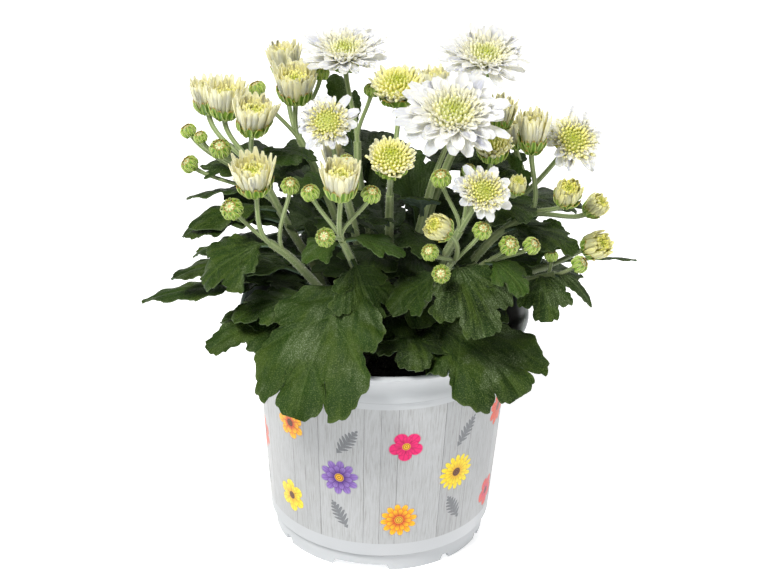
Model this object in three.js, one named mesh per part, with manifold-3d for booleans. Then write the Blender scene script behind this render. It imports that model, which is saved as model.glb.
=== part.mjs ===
// A potted multiflora chrysanthemum: white printed plastic pot, compost, leafy stems, blooms.
// Millimetres, +Z up, origin on the ground under the middle of the pot, -Y is the front.
import * as THREE from "three";
import { mergeVertices } from "three/addons/utils/BufferGeometryUtils.js";
import Module from "manifold-3d";

const wasm = await Module();
wasm.setup();

// Pot
const POT_TOP = 110;
const RIM_RADIUS = 65;
const COLLAR_BOTTOM = 93;
const WALL_TOP_RADIUS = 56.8;
const WALL_BOTTOM_RADIUS = 49.8;
const FOOT_RADIUS = 47.2;
const FOOT_HEIGHT = 9.5;
const FOOT_RING_WIDTH = 2.2;
const GROOVE_WIDTH = 1.4;
const WALL = 1.4;
const COLLAR_STEP = 1.3;
const COLLAR_WAIST_HEIGHT = 8;
const COLLAR_WAIST_FLARE = 2.1;
const LIP_ROLL = 0.9;
const LIP_WIDTH = 2.2;
const LIP_HEIGHT = 2.4;
const POT_SIDES = 28;
const CENTRE_PAD_RADIUS = 14;
const FOOT_RECESS = 3.2;
const FLOOR_TOP = 5;
const NOTCH_HEIGHT = 3;
const NOTCH_DEPTH = 9;
const NOTCH_SLOPE = 1.6;
const WIDE_NOTCHES = [-9.5, 110, 230];
const WIDE_NOTCH_WIDTH = 29;
const NARROW_NOTCHES = [40, 70, 150, 190, 270, 301];
const NARROW_NOTCH_WIDTH = 7;
const DRAIN_HOLES = 6;
const DRAIN_RING_RADIUS = 30;
const DRAIN_HOLE_RADIUS = 4;

// Compost
const SOIL_TOP = 96;
const SOIL_RADIUS = 55.2;
const SOIL_BOTTOM_RADIUS = 46.6;
const SOIL_SIDES = 16;
const GAP = 0.35;
const HOLE_BOTTOM = 88;
const HOLE_RADIUS = 3.4;
const HOLE_SIDES = 5;

// Stems and leaves
const STEM_RADIUS = 2.1;
const STEM_SIDES = 4;
const STEM_STEPS = 5;
const STALK_RADIUS = 1.25;
const BUD_STALK_RADIUS = 1.05;
const STALK_SIDES = 3;
const STALK_STEPS = 3;
const BUD_STALK_STEPS = 2;
const STALK_SINK = 0.4;
const BUD_SINK_SHARE = 0.4;
const LEAF_HALF_THICKNESS = 0.4;
const PETIOLE_HALF_THICKNESS = 0.85;
const PETIOLE_HALF_WIDTH = 0.95;

// Flower heads
const INVOLUCRE_SIDES = 6;
// How far a petal's keel lies out and down from its edges
const OUTER_KEEL = [0.385, 1.1];
const SECOND_KEEL = [0.35, 1];
const CUP_KEEL = [1, 0.1];
const CUP_PETALS = 6;
const CUP_TIP_SHARE = 0.94;
const OPENING_PETALS = 6;
const OPENING_TIP_SHARE = 0.66;

const UP = new THREE.Vector3(0, 0, 1);
const LEAF_GREEN = "#3f6b2c";
const PETAL_WHITE = "#f4f1de";
const PETAL_CREAM = "#f1ecbe";
const POT_WHITE = "#eef0f2";
const COMPOST_BROWN = "#1c1713";

function vec(p) {
  return new THREE.Vector3(p[0], p[1], p[2]);
}

function signedVolume(position, index) {
  const a = new THREE.Vector3();
  const b = new THREE.Vector3();
  const c = new THREE.Vector3();
  let sum = 0;
  for (let i = 0; i < index.length; i += 3) {
    a.fromBufferAttribute(position, index[i]);
    b.fromBufferAttribute(position, index[i + 1]);
    c.fromBufferAttribute(position, index[i + 2]);
    sum += a.dot(b.cross(c));
  }
  return sum / 6;
}

function toSolid(geometry) {
  geometry.deleteAttribute("normal");
  geometry.deleteAttribute("uv");
  const merged = mergeVertices(geometry, 1e-3);
  const all = Array.from(merged.index.array);
  const kept = [];
  for (let i = 0; i < all.length; i += 3) {
    const [p, q, r] = [all[i], all[i + 1], all[i + 2]];
    if (p !== q && q !== r && r !== p) {
      kept.push(p, q, r);
    }
  }
  if (signedVolume(merged.getAttribute("position"), kept) < 0) {
    for (let i = 0; i < kept.length; i += 3) {
      [kept[i + 1], kept[i + 2]] = [kept[i + 2], kept[i + 1]];
    }
  }
  return new wasm.Manifold(new wasm.Mesh({
    numProp: 3,
    vertProperties: Float32Array.from(merged.getAttribute("position").array),
    triVerts: Uint32Array.from(kept),
  }));
}

// Joins solids into one body: a hollow sealed by the join is filled and a loose scrap dropped
function fuse(solids) {
  const bodies = solids.reduce((whole, next) => whole.add(next)).decompose();
  return bodies.reduce((largest, body) => (body.volume() > largest.volume() ? body : largest));
}

function toMesh(name, solid, colour, roughness) {
  const data = solid.getMesh();
  const geometry = new THREE.BufferGeometry();
  geometry.setAttribute("position", new THREE.BufferAttribute(data.vertProperties, 3));
  geometry.setIndex(new THREE.BufferAttribute(data.triVerts, 1));
  geometry.computeVertexNormals();
  const material = new THREE.MeshStandardMaterial({ color: colour, roughness, metalness: 0 });
  const mesh = new THREE.Mesh(geometry, material);
  mesh.name = name;
  return mesh;
}

function lathe(profile, sides) {
  const points = profile.map(([r, z]) => new THREE.Vector2(r, z));
  const geometry = new THREE.LatheGeometry(points, sides);
  geometry.rotateX(Math.PI / 2);
  return geometry;
}

function aimed(geometry, at, axis) {
  const turn = new THREE.Quaternion().setFromUnitVectors(UP, vec(axis).normalize());
  geometry.applyQuaternion(turn);
  geometry.translate(at[0], at[1], at[2]);
  return geometry;
}

function tube(curve, radius, sides, steps) {
  const outline = [];
  for (let i = 0; i < sides; i++) {
    const angle = (2 * Math.PI * i) / sides;
    outline.push(new THREE.Vector2(radius * Math.cos(angle), radius * Math.sin(angle)));
  }
  return new THREE.ExtrudeGeometry(new THREE.Shape(outline), { steps, extrudePath: curve });
}

// Pot: a lathed wall with a flared collar and rolled lip, a foot ring with notches, drain holes
function potWall() {
  const inner = (r) => r - WALL;
  const bodyInnerTop = inner(WALL_TOP_RADIUS);
  const profile = [
    [0, 0],
    [CENTRE_PAD_RADIUS, 0],
    [CENTRE_PAD_RADIUS + 1, FOOT_RECESS],
    [FOOT_RADIUS - FOOT_RING_WIDTH - 1, FOOT_RECESS],
    [FOOT_RADIUS - FOOT_RING_WIDTH, 0],
    [FOOT_RADIUS, 0],
    [FOOT_RADIUS + 0.8, FOOT_HEIGHT - GROOVE_WIDTH],
    [WALL_BOTTOM_RADIUS, FOOT_HEIGHT],
    [WALL_TOP_RADIUS, COLLAR_BOTTOM - 0.6],
    [WALL_TOP_RADIUS + COLLAR_STEP, COLLAR_BOTTOM],
    [WALL_TOP_RADIUS + COLLAR_STEP + COLLAR_WAIST_FLARE, COLLAR_BOTTOM + COLLAR_WAIST_HEIGHT],
    [RIM_RADIUS, POT_TOP - LIP_HEIGHT],
    [RIM_RADIUS - LIP_ROLL, POT_TOP],
    [RIM_RADIUS - LIP_WIDTH, POT_TOP],
    [RIM_RADIUS - LIP_WIDTH - 0.8, POT_TOP - 4],
    [bodyInnerTop + COLLAR_STEP * 2, COLLAR_BOTTOM + COLLAR_WAIST_HEIGHT],
    [bodyInnerTop, COLLAR_BOTTOM],
    [inner(WALL_BOTTOM_RADIUS) - 0.8, FLOOR_TOP],
    [0, FLOOR_TOP],
  ];
  return toSolid(lathe(profile, POT_SIDES));
}

function footNotch(degrees, widthDegrees) {
  const half = (Math.PI * widthDegrees) / 360;
  const middle = FOOT_RADIUS + NOTCH_DEPTH / 2;
  const spread = middle * Math.tan(half);
  const shape = new THREE.Shape([
    new THREE.Vector2(-spread, -1),
    new THREE.Vector2(spread, -1),
    new THREE.Vector2(spread - NOTCH_SLOPE, NOTCH_HEIGHT),
    new THREE.Vector2(-spread + NOTCH_SLOPE, NOTCH_HEIGHT),
  ]);
  const block = new THREE.ExtrudeGeometry(shape, { depth: NOTCH_DEPTH, bevelEnabled: false });
  block.rotateX(Math.PI / 2);
  block.translate(0, -(FOOT_RADIUS - NOTCH_DEPTH / 2), 0);
  block.rotateZ((Math.PI * degrees) / 180);
  return toSolid(block);
}

function drainHole(index) {
  const hole = new THREE.CylinderGeometry(DRAIN_HOLE_RADIUS, DRAIN_HOLE_RADIUS, 3 * FLOOR_TOP, 6);
  const angle = (2 * Math.PI * (index + 0.5)) / DRAIN_HOLES;
  hole.rotateX(Math.PI / 2);
  hole.translate(DRAIN_RING_RADIUS * Math.cos(angle), DRAIN_RING_RADIUS * Math.sin(angle), 0);
  return toSolid(hole);
}

function buildPot() {
  let pot = potWall();
  for (const degrees of WIDE_NOTCHES) {
    pot = pot.subtract(footNotch(degrees, WIDE_NOTCH_WIDTH));
  }
  for (const degrees of NARROW_NOTCHES) {
    pot = pot.subtract(footNotch(degrees, NARROW_NOTCH_WIDTH));
  }
  for (let i = 0; i < DRAIN_HOLES; i++) {
    pot = pot.subtract(drainHole(i));
  }
  return pot;
}

// Compost: a root ball filling the pot, with a plain hole where each stem stands
function buildCompost(stems) {
  const profile = [
    [0, FLOOR_TOP + GAP],
    [SOIL_BOTTOM_RADIUS, FLOOR_TOP + GAP],
    [SOIL_RADIUS - 0.8, SOIL_TOP - 3],
    [SOIL_RADIUS - 2.6, SOIL_TOP - 0.8],
    [0, SOIL_TOP],
  ];
  let soil = toSolid(lathe(profile, SOIL_SIDES));
  for (const stem of stems) {
    const [x, y] = stem.path[0];
    const length = 2 * (SOIL_TOP - HOLE_BOTTOM);
    const hole = new THREE.CylinderGeometry(HOLE_RADIUS, HOLE_RADIUS, length, HOLE_SIDES);
    hole.rotateX(Math.PI / 2);
    hole.translate(x, y, SOIL_TOP);
    soil = soil.subtract(toSolid(hole));
  }
  return soil;
}

// Leaf outlines: [along the blade, share of the half width, where its vein leaves the midrib]
const LOBED = [
  [0.0, 0.05, 0.0],
  [0.18, 0.54, 0.08],
  [0.4, 0.78, 0.18],
  [0.38, 0.34, 0.3],
  [0.63, 1.0, 0.4],
  [0.7, 0.38, 0.58],
  [0.9, 0.42, 0.74],
];
const BROAD = [
  [0.0, 0.05, 0.0],
  [0.15, 0.6, 0.06],
  [0.38, 0.94, 0.14],
  [0.5, 0.82, 0.2],
  [0.48, 0.62, 0.27],
  [0.7, 0.94, 0.33],
  [0.88, 0.84, 0.4],
  [0.95, 0.6, 0.47],
  [0.78, 0.33, 0.58],
  [0.92, 0.36, 0.7],
  [0.99, 0.2, 0.85],
];
const TRIFID = [
  [0.0, 0.07, 0.0],
  [0.26, 0.56, 0.1],
  [0.56, 1.0, 0.3],
  [0.6, 0.48, 0.48],
  [0.86, 0.46, 0.72],
];
const SERRATE = [
  [0.0, 0.08, 0.0],
  [0.3, 0.9, 0.2],
  [0.38, 0.62, 0.32],
  [0.6, 1.0, 0.48],
  [0.84, 0.6, 0.74],
];
const BRACT = [
  [0.0, 0.15, 0.0],
  [0.3, 0.9, 0.2],
  [0.66, 0.8, 0.6],
];
const MIDRIB = [0, 0.3, 0.62];
const FORMS = {
  lobed: { outline: LOBED, petiole: 0.2 },
  broad: { outline: BROAD, petiole: 0.17 },
  trifid: { outline: TRIFID, petiole: 0.22 },
  serrate: { outline: SERRATE, petiole: 0.22 },
  bract: { outline: BRACT, petiole: 0.1 },
};
const CUP = 0.12;
const WAVE = 0.035;

function leafFrame(path, roll, s) {
  const along = path.getTangent(s);
  const flat = new THREE.Vector3().crossVectors(along, UP).normalize();
  const face = new THREE.Vector3().crossVectors(flat, along);
  const side = flat.clone().multiplyScalar(Math.cos(roll)).addScaledVector(face, Math.sin(roll));
  const normal = new THREE.Vector3().crossVectors(side, along);
  return { origin: path.getPoint(s), side, normal };
}

function leafPoint(path, roll, s, v, halfWidth) {
  const { origin, side, normal } = leafFrame(path, roll, s);
  const share = v / halfWidth;
  const lift = -CUP * halfWidth * share * share + WAVE * halfWidth * Math.sin(9 * s + 2 * share);
  return { at: origin.addScaledVector(side, v).addScaledVector(normal, lift), normal };
}

function leafGeometry(root, leaf) {
  const [, tip, lift, width, rollDegrees, form] = leaf;
  const { outline, petiole } = FORMS[form];
  const roll = (Math.PI * rollDegrees) / 180;
  const end = vec(tip);
  const middle = root.clone().add(end).multiplyScalar(0.5).addScaledVector(UP, 2 * lift);
  const path = new THREE.QuadraticBezierCurve3(root, middle, end);
  const halfWidth = width / 2;
  const positions = [];
  const triangles = [];

  function addPair(s, v, half) {
    const { at, normal } = leafPoint(path, roll, s, v, halfWidth);
    const top = at.clone().addScaledVector(normal, half);
    const bottom = at.addScaledVector(normal, -half);
    positions.push(top.x, top.y, top.z, bottom.x, bottom.y, bottom.z);
    return positions.length / 3 - 2;
  }
  const toPath = (a) => petiole + (1 - petiole) * a;
  const middleChain = [[addPair(0, 0, PETIOLE_HALF_THICKNESS), -1]];
  for (const a of MIDRIB) {
    middleChain.push([addPair(toPath(a), 0, LEAF_HALF_THICKNESS * (1.5 - 0.5 * a)), a]);
  }
  const tipPair = addPair(1, 0, LEAF_HALF_THICKNESS);
  function edgeChain(sign) {
    const chain = [[addPair(0, sign * PETIOLE_HALF_WIDTH, PETIOLE_HALF_THICKNESS), -1]];
    for (const [a, b, vein] of outline) {
      chain.push([addPair(toPath(a), sign * b * halfWidth, LEAF_HALF_THICKNESS), vein]);
    }
    chain.push([tipPair, 1]);
    return chain;
  }
  function face(p, q, r, sign) {
    const order = sign > 0 ? [p, q, r] : [p, r, q];
    triangles.push(...order, order[0] + 1, order[2] + 1, order[1] + 1);
  }
  function rim(p, q) {
    triangles.push(p + 1, q + 1, q, p + 1, q, p);
  }
  for (const sign of [1, -1]) {
    const edge = edgeChain(sign);
    let i = 0;
    let j = 0;
    while (i < middleChain.length - 1 || j < edge.length - 1) {
      const nextMiddle = i < middleChain.length - 1 ? middleChain[i + 1][1] : Infinity;
      const nextEdge = j < edge.length - 1 ? edge[j + 1][1] : Infinity;
      if (nextMiddle <= nextEdge) {
        face(middleChain[i][0], edge[j][0], middleChain[i + 1][0], sign);
        i += 1;
      } else {
        face(middleChain[i][0], edge[j][0], edge[j + 1][0], sign);
        j += 1;
      }
    }
    const loop = [middleChain[0], ...edge].map((entry) => entry[0]);
    for (let k = 0; k < loop.length - 1; k++) {
      if (sign > 0) {
        rim(loop[k], loop[k + 1]);
      } else {
        rim(loop[k + 1], loop[k]);
      }
    }
  }
  const geometry = new THREE.BufferGeometry();
  geometry.setAttribute("position", new THREE.Float32BufferAttribute(positions, 3));
  geometry.setIndex(triangles);
  return geometry;
}

// Flower heads, each in its own frame: base on the stalk, axis up the middle
function openInvolucre(scale) {
  const profile = [
    [0, -1.4],
    [1.5, -0.4],
    [4.8, 1.4],
    [6.4, 4.4],
    [0, 3.9],
  ];
  return lathe(profile.map(([r, z]) => [r * scale, z * scale]), INVOLUCRE_SIDES);
}

function cupInvolucre(radius, height) {
  const r = radius * 0.72;
  const h = height * 0.4;
  const profile = [
    [0, -1.4],
    [r * 0.8, h * 0.32],
    [r, h],
    [0, h * 0.45],
  ];
  return lathe(profile, INVOLUCRE_SIDES);
}

function budGeometry(radius) {
  const profile = [
    [0, -radius * 0.9],
    [radius * 0.86, -radius * 0.45],
    [radius * 0.9, 0.42 * radius],
    [0, radius * 0.75],
  ];
  return lathe(profile, INVOLUCRE_SIDES);
}

// A petal is a three-sided spoon: two edges and a keel, through [radius, height, half width]
function petalGeometry(stations, keel, turn) {
  const rows = stations.length - 1;
  const cone = new THREE.ConeGeometry(1, 1, 3, rows);
  const position = cone.getAttribute("position");
  for (let i = 0; i < position.count; i++) {
    const row = Math.round((position.getY(i) + 0.5) * rows);
    const [out, up, half] = stations[row];
    const along = Math.hypot(position.getX(i), position.getZ(i));
    const onAxis = along < 1e-6;
    const side = onAxis ? 0 : Math.sign(Math.round(position.getX(i) * 1000));
    const [keelOut, keelDown] = !onAxis && side === 0 ? keel : [0, 0];
    position.setXYZ(i, out + keelOut, side * half, up - keelDown);
  }
  cone.rotateZ(turn);
  return cone;
}

function petalRow(count, phase, stations, keel) {
  const petals = [];
  for (let i = 0; i < count; i++) {
    const sway = 1 + 0.05 * Math.sin(2.4 * i + 5 * phase);
    const row = stations.map(([r, z, w], k) => [k ? r * sway : r, z, w]);
    petals.push(petalGeometry(row, keel, (2 * Math.PI * (i + phase)) / count));
  }
  return petals;
}

// A core whose sides each face one petal
function bloomCore(profile, count) {
  const core = lathe(profile, count);
  core.rotateZ(Math.PI / 2 - Math.PI / count);
  return core;
}

function openBloom(r, scale, count) {
  const s = scale;
  const core = bloomCore([
    [0, 4.5 * s],
    [5.6 * s, 5.6 * s],
    [4.6 * s, 9.2 * s],
    [0, 11.6 * s],
  ], count);
  const w = (Math.PI * r * 0.8) / count;
  const outer = [
    [4.0 * s, 7.4 * s, 0.85 * s],
    [r * 0.86, 8.2 * s, w],
    [r, 7.4 * s, 0],
  ];
  const second = [
    [3.2 * s, 9.4 * s, 0.8 * s],
    [r * 0.6, 11.4 * s, w * 0.8],
    [r * 0.74, 12.6 * s, 0],
  ];
  return [
    core,
    ...petalRow(count, 0, outer, OUTER_KEEL),
    ...petalRow(Math.round(count * 0.6), 0.5, second, SECOND_KEEL),
  ];
}

function cupBloom(r, h, count, tipShare) {
  const ri = r * 0.72;
  const hi = h * 0.4;
  const core = bloomCore([
    [0, hi * 0.45 + 0.5],
    [ri * 0.8, hi + 0.4],
    [ri * 0.78, h * 0.7],
    [0, h * 0.86],
  ], count);
  const w = (Math.PI * r * 0.82) / count;
  const edge = r - CUP_KEEL[0] / 2;
  const outer = [
    [ri * 0.58, hi + 1.8, w * 0.42],
    [edge, h * 0.78, w],
    [edge * tipShare, h, 0],
  ];
  return [core, ...petalRow(count, 0, outer, CUP_KEEL)];
}

// Stems. path: standing foot to top. heads: [name, kind, start on path, base or centre, axis, size]
// leaves: [start on path, tip, lift, width, roll, form]
const STEMS = [
  {
    name: "stem_left_outer",
    path: [[-24, 4], [-28, 5, 118], [-44, 8, 146], [-56, 8, 170]],
    heads: [
      ["bloom_left_cup_front", "cup", 3, [-60, -4, 197], [0.1, -0.1, 1], 9.6, 16],
      ["bloom_left_cup_middle", "cup", 3, [-73, 15, 195], [0.04, 0, 1], 9.2, 16],
      ["bloom_left_cup_back", "cup", 2.9, [-81, 34, 188], [-0.1, 0.1, 1], 8, 15],
      ["bud", "bud", 2.5, [-89, 17, 187], [-0.5, 0, 0.9], 3.4],
      ["bud", "bud", 2.7, [-83, 5, 190], [-0.3, -0.2, 0.9], 2.9],
      ["bud", "bud", 2.85, [-74, -2, 188], [-0.1, -0.5, 0.8], 4.5],
      ["bud", "bud", 2.3, [-88, 10, 174], [-0.6, -0.3, 0.7], 3.8],
    ],
    leaves: [
      [1, [-109, -2, 110], 5, 22, -26, "serrate"],
      [1.4, [-95, -12, 127], 6, 24, -12, "serrate"],
      [2, [-91, 8, 138], 7, 26, -8, "serrate"],
      [2.6, [-90, 22, 150], 4, 18, -16, "serrate"],
      [0.85, [-86, 34, 116], 12, 36, 0, "lobed"],
    ],
  },
  {
    name: "stem_left_front",
    path: [[-13, -15], [-14.5, -17, 109], [-24, -25, 126], [-34, -28, 140], [-43, -32, 152], [-51, -34, 159]],
    heads: [
      ["bloom_left_stalked_cup", "cup", 5, [-57, -32, 182], [-0.12, -0.2, 0.96], 9.5, 17],
      ["bud", "bud", 4.9, [-67, -40, 178], [-0.3, -0.6, 0.7], 4.7],
      ["bud", "bud", 4, [-42, -40, 190], [0, -0.5, 0.8], 3.8],
    ],
    leaves: [
      [0.8, [-77, -42, 108], 12, 30, 0, "lobed"],
      [2.0, [-66, -42, 123], 6, 30, -4, "lobed"],
      [1.8, [-31, -46, 116], 4, 14, 0, "trifid"],
      [4.7, [-79, -42, 141], 6, 38, 4, "lobed"],
    ],
  },
  {
    name: "stem_left_back",
    path: [[-14, 12], [-18, 16, 130], [-30, 24, 160], [-40, 30, 178]],
    heads: [
      ["bloom_back_left_cup", "cup", 3, [-42, 29, 197], [-0.02, -0.15, 1], 10, 17],
      ["bloom_back_left_cup_small", "cup", 3, [-47, 48, 200], [-0.1, 0.1, 1], 7.8, 15],
      ["bud", "bud", 2.85, [-59, 27, 204], [-0.4, 0, 0.9], 3.6],
      ["bud", "bud", 2.85, [-31, 34, 209], [0.1, 0, 1], 3.6],
    ],
    leaves: [
      [1.6, [-80, 48, 162], 8, 28, 0, "lobed"],
      [2.7, [-47, -2, 180], 4, 24, 0, "trifid"],
      [1.2, [-58, 68, 148], 8, 28, 0, "lobed"],
    ],
  },
  {
    name: "stem_back_middle",
    path: [[-4, 10], [-6, 16, 130], [-13, 22, 165], [-14, 25, 180]],
    heads: [
      ["bloom_top_left_open", "open", 3, [-20, 32, 212], [-0.06, -0.12, 1], 19.4, 1.0, 11],
      ["bud", "bud", 3, [-8, 26, 205], [0.2, 0.1, 1], 3.4],
    ],
    leaves: [
      [2.3, [-26, 46, 203], 3, 18, 0, "trifid"],
      [1.8, [-8, 58, 168], 8, 26, 0, "lobed"],
    ],
  },
  {
    name: "stem_middle_front_high",
    path: [[-8, -4], [-10, -8, 130], [-16, -14, 165], [-20, -17, 180]],
    heads: [
      ["bud", "bud", 2.5, [-18, -41, 203], [0.1, -0.5, 0.8], 3.2],
      ["bloom_middle_left_open", "open", 3, [-26, -20, 209], [-0.08, -0.7, 0.7], 13.6, 0.8, 9],
    ],
    leaves: [[2.2, [-44, -14, 176], 5, 26, 0, "trifid"], [1.6, [-29, -31, 164], 5, 18, 0, "trifid"]],
  },
  {
    name: "stem_front_umbel",
    path: [[-4, -20], [-8, -26, 118], [-13, -37, 148], [-19, -45, 167]],
    heads: [
      ["bloom_front_cup", "cup", 3, [-20, -54, 192], [0, -0.15, 1], 9, 16],
      ["bud", "bud", 3, [-33, -50, 192], [-0.3, -0.3, 0.9], 3.8],
      ["bud", "bud", 3, [-7, -52, 193], [0.2, -0.4, 0.9], 4],
      ["bud", "bud", 2.93, [-26, -62, 177], [-0.2, -0.7, 0.6], 4.1],
    ],
    leaves: [
      [1.75, [-37, -81, 98], 14, 56, 0, "broad"],
      [2.4, [-6, -56, 131], 4, 32, 0, "lobed"],
      [2.95, [8, -50, 162], 4, 18, 0, "trifid"],
      [2.7, [-36, -50, 158], 5, 20, 0, "trifid"],
    ],
  },
  {
    name: "stem_centre",
    path: [[2, -8], [2, -12, 130], [1, -18, 165], [1, -22, 178]],
    heads: [
      ["bloom_centre_yellow_small", "cup", 3, [1, -42, 200], [0.03, -0.4, 0.92], 10.6, 14],
      ["bloom_centre_yellow", "cup", 3, [4, 12, 207], [-0.05, -0.2, 0.97], 12.2, 15],
    ],
    leaves: [[1.8, [-6, -40, 172], 4, 16, 0, "trifid"]],
  },
  {
    name: "stem_centre_right_high",
    path: [[8, -4], [12, -7, 140], [20, -11, 180]],
    heads: [["bloom_large_open", "open", 2, [27, -14, 206], [0.06, -0.36, 0.93], 24.3, 1.15, 12]],
    leaves: [[1.3, [7, 12, 184], 4, 28, 0, "trifid"], [1.5, [13, -31, 180], 4, 18, 0, "trifid"]],
  },
  {
    name: "stem_right_front_high",
    path: [[14, -14], [17, -18, 120], [25, -28, 150], [32, -35, 168]],
    heads: [
      ["bloom_right_front_open", "open", 3, [40, -43, 188], [0.2, -0.6, 0.77], 13.6, 0.8, 9],
      ["bud", "bud", 2.85, [23, -41, 196], [-0.1, -0.4, 0.9], 4.2],
      ["bud", "bud", 3, [35, -30, 195], [0.1, -0.2, 1], 2.8],
    ],
    leaves: [[2.1, [5, -34, 160], 5, 28, 0, "lobed"]],
  },
  {
    name: "stem_right_front",
    path: [[8, -24], [12, -30, 116], [21, -40, 142], [29, -47, 158]],
    heads: [
      ["bloom_right_front_opening", "opening", 3, [26.5, -57.5, 178.3], [-0.6, -0.5, 0.62], 6.6, 13],
      ["bud", "bud", 3, [41, -54, 178], [0.2, -0.5, 0.8], 3.9],
      ["bud", "bud", 2.93, [24, -68, 164], [-0.1, -0.8, 0.5], 3.9],
      ["bud", "bud", 2.93, [19, -62, 171], [-0.3, -0.6, 0.7], 3.6],
    ],
    leaves: [
      [0.9, [60, -65, 102], 13, 52, -16, "broad"],
      [2.9, [43, -73, 136], 8, 40, 0, "lobed"],
      [2.6, [3, -53, 136], 4, 30, 0, "lobed"],
      [0.5, [14, -67, 115], 9, 32, 0, "lobed"],
    ],
  },
  {
    name: "stem_right_side_front",
    path: [[20, -18], [24, -22, 116], [34, -32, 140], [44, -40, 155]],
    heads: [
      ["bud", "bud", 3, [53, -50, 169], [0.2, -0.6, 0.7], 4.2],
      ["bud", "bud", 2.9, [63, -44, 166], [0.5, -0.4, 0.7], 3.7],
    ],
    leaves: [
      [2.95, [60, -55, 147], 5, 20, 0, "trifid"],
      [1.3, [52, -34, 130], 6, 18, 0, "lobed"],
    ],
  },
  {
    name: "stem_back_right",
    path: [[10, 8], [14, 12, 130], [24, 20, 165], [32, 25, 185]],
    heads: [
      ["bloom_top_right_open", "open", 3, [41, 32, 212], [0.08, -0.2, 1], 20.4, 1.0, 11],
      ["bloom_back_right_cup", "cup", 2.95, [21, 37, 197], [-0.15, 0.1, 1], 7, 13],
      ["bloom_back_right_cup_side", "cup", 2.93, [49, 10, 196], [0.1, -0.1, 1], 6.2, 14],
    ],
    leaves: [[1.8, [36, 52, 164], 8, 30, 0, "lobed"]],
  },
  {
    name: "stem_right_middle",
    path: [[20, -4], [24, -5, 130], [36, -8, 162], [42, -10, 174]],
    heads: [
      ["bloom_right_yellow_cup", "cup", 3, [45, -11, 191], [0.05, -0.2, 1], 8.6, 14],
      ["bloom_right_small_opening", "opening", 3, [56, -25, 182], [0.1, -0.3, 0.95], 4.6, 9],
    ],
    leaves: [[2, [63, -24, 168], 6, 30, 0, "lobed"]],
  },
  {
    name: "stem_right_cups",
    path: [[27, 2], [31, 2, 118], [48, 1, 146], [62, 0, 158]],
    heads: [
      ["bloom_right_tall_cup", "cup", 3, [63, 3, 188], [0.02, -0.05, 1], 6.8, 19],
      ["bloom_right_opening", "opening", 3, [78, -10, 170], [0.15, -0.4, 0.9], 7.2, 13],
      ["bloom_far_right_opening", "opening", 2.9, [89, 6, 157], [0.6, -0.3, 0.75], 5.8, 12],
    ],
    leaves: [[2.2, [84, -14, 147], 6, 24, 0, "lobed"], [2.6, [54, 15, 180], 2, 18, 0, "trifid"]],
  },
  {
    name: "stem_right_open",
    path: [[24, 12], [28, 14, 118], [46, 17, 145], [62, 19, 160]],
    heads: [
      ["bloom_right_open", "open", 3, [79, 22, 181], [0.3, -0.55, 0.78], 16, 0.9, 10],
      ["bloom_right_back_cup", "cup", 2.9, [57, 27, 178], [-0.05, 0.1, 1], 6.2, 13],
    ],
    leaves: [[2.1, [88, 40, 142], 8, 28, 0, "lobed"]],
  },
  {
    name: "stem_right_low",
    path: [[31, -5], [35, -7, 110], [50, -16, 128], [62, -23, 137], [75, -27, 143]],
    heads: [
      ["bud", "bud", 4, [85, -28, 149], [0.7, -0.3, 0.6], 3.7],
      ["bud", "bud", 3.6, [73, -19, 148], [0, 0, 1], 2.8],
    ],
    leaves: [
      [3.5, [71, -45, 129], 6, 24, 0, "lobed"],
      [3.97, [91, -34, 131], 4, 8, 0, "bract"],
    ],
  },
  {
    name: "stem_far_right",
    path: [[33, 7], [37, 8, 108], [56, 8, 122], [73, 6, 130]],
    heads: [["bloom_far_right_half_open", "opening", 3, [89, 2, 141], [0.65, -0.5, 0.55], 7.6, 13]],
    leaves: [
      [2.9, [113, 14, 129], 3, 12, 24, "serrate"],
      [2.7, [76, 18, 147], 1, 18, 0, "trifid"],
      [0.9, [88, 30, 112], 9, 32, 0, "lobed"],
    ],
  },
  {
    name: "stem_rear_left",
    path: [[-8, 22], [-10, 28, 108], [-16, 42, 126], [-20, 50, 134]],
    heads: [
      ["bloom_rear_left_cup", "cup", 3, [-20, 60, 144], [-0.1, 0.6, 0.8], 10, 16],
      ["bud", "bud", 2.9, [-34, 58, 142], [-0.3, 0.5, 0.8], 3.8],
    ],
    leaves: [
      [0.9, [-34, 86, 104], 14, 42, 0, "lobed"],
      [1.8, [-2, 76, 124], 6, 24, 0, "lobed"],
    ],
  },
  {
    name: "stem_rear_right",
    path: [[10, 22], [14, 28, 108], [28, 42, 126], [35, 50, 132]],
    heads: [
      ["bloom_rear_right_cup", "cup", 3, [40, 61, 142], [0.1, 0.6, 0.8], 10, 16],
      ["bud", "bud", 2.9, [24, 58, 146], [0, 0.4, 0.9], 3.8],
    ],
    leaves: [
      [0.9, [44, 84, 104], 13, 42, 0, "lobed"],
      [1.6, [66, 62, 116], 8, 30, 0, "lobed"],
    ],
  },
  {
    name: "stem_rear_left_low",
    path: [[-22, 16], [-26, 20, 108], [-40, 34, 122], [-50, 44, 128]],
    heads: [
      ["bloom_rear_left_cup_low", "cup", 3, [-57, 53, 135], [-0.4, 0.4, 0.8], 8, 14],
      ["bud", "bud", 2.9, [-68, 36, 138], [-0.6, 0.2, 0.7], 3.8],
    ],
    leaves: [[1, [-72, 62, 104], 10, 38, 0, "lobed"]],
  },
];

// A stem's path rises from its foot, just above the bottom of its hole
function stemCurve(stem) {
  const [x, y] = stem.path[0];
  const points = [[x, y, HOLE_BOTTOM + GAP], [x, y, SOIL_TOP + 1], ...stem.path.slice(1)];
  return new THREE.CatmullRomCurve3(points.map(vec), false, "centripetal");
}

// Places on a stem are counted in points of its path, 0 being the soil
function shareOf(stem, place) {
  return (place + 1) / stem.path.length;
}

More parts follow.
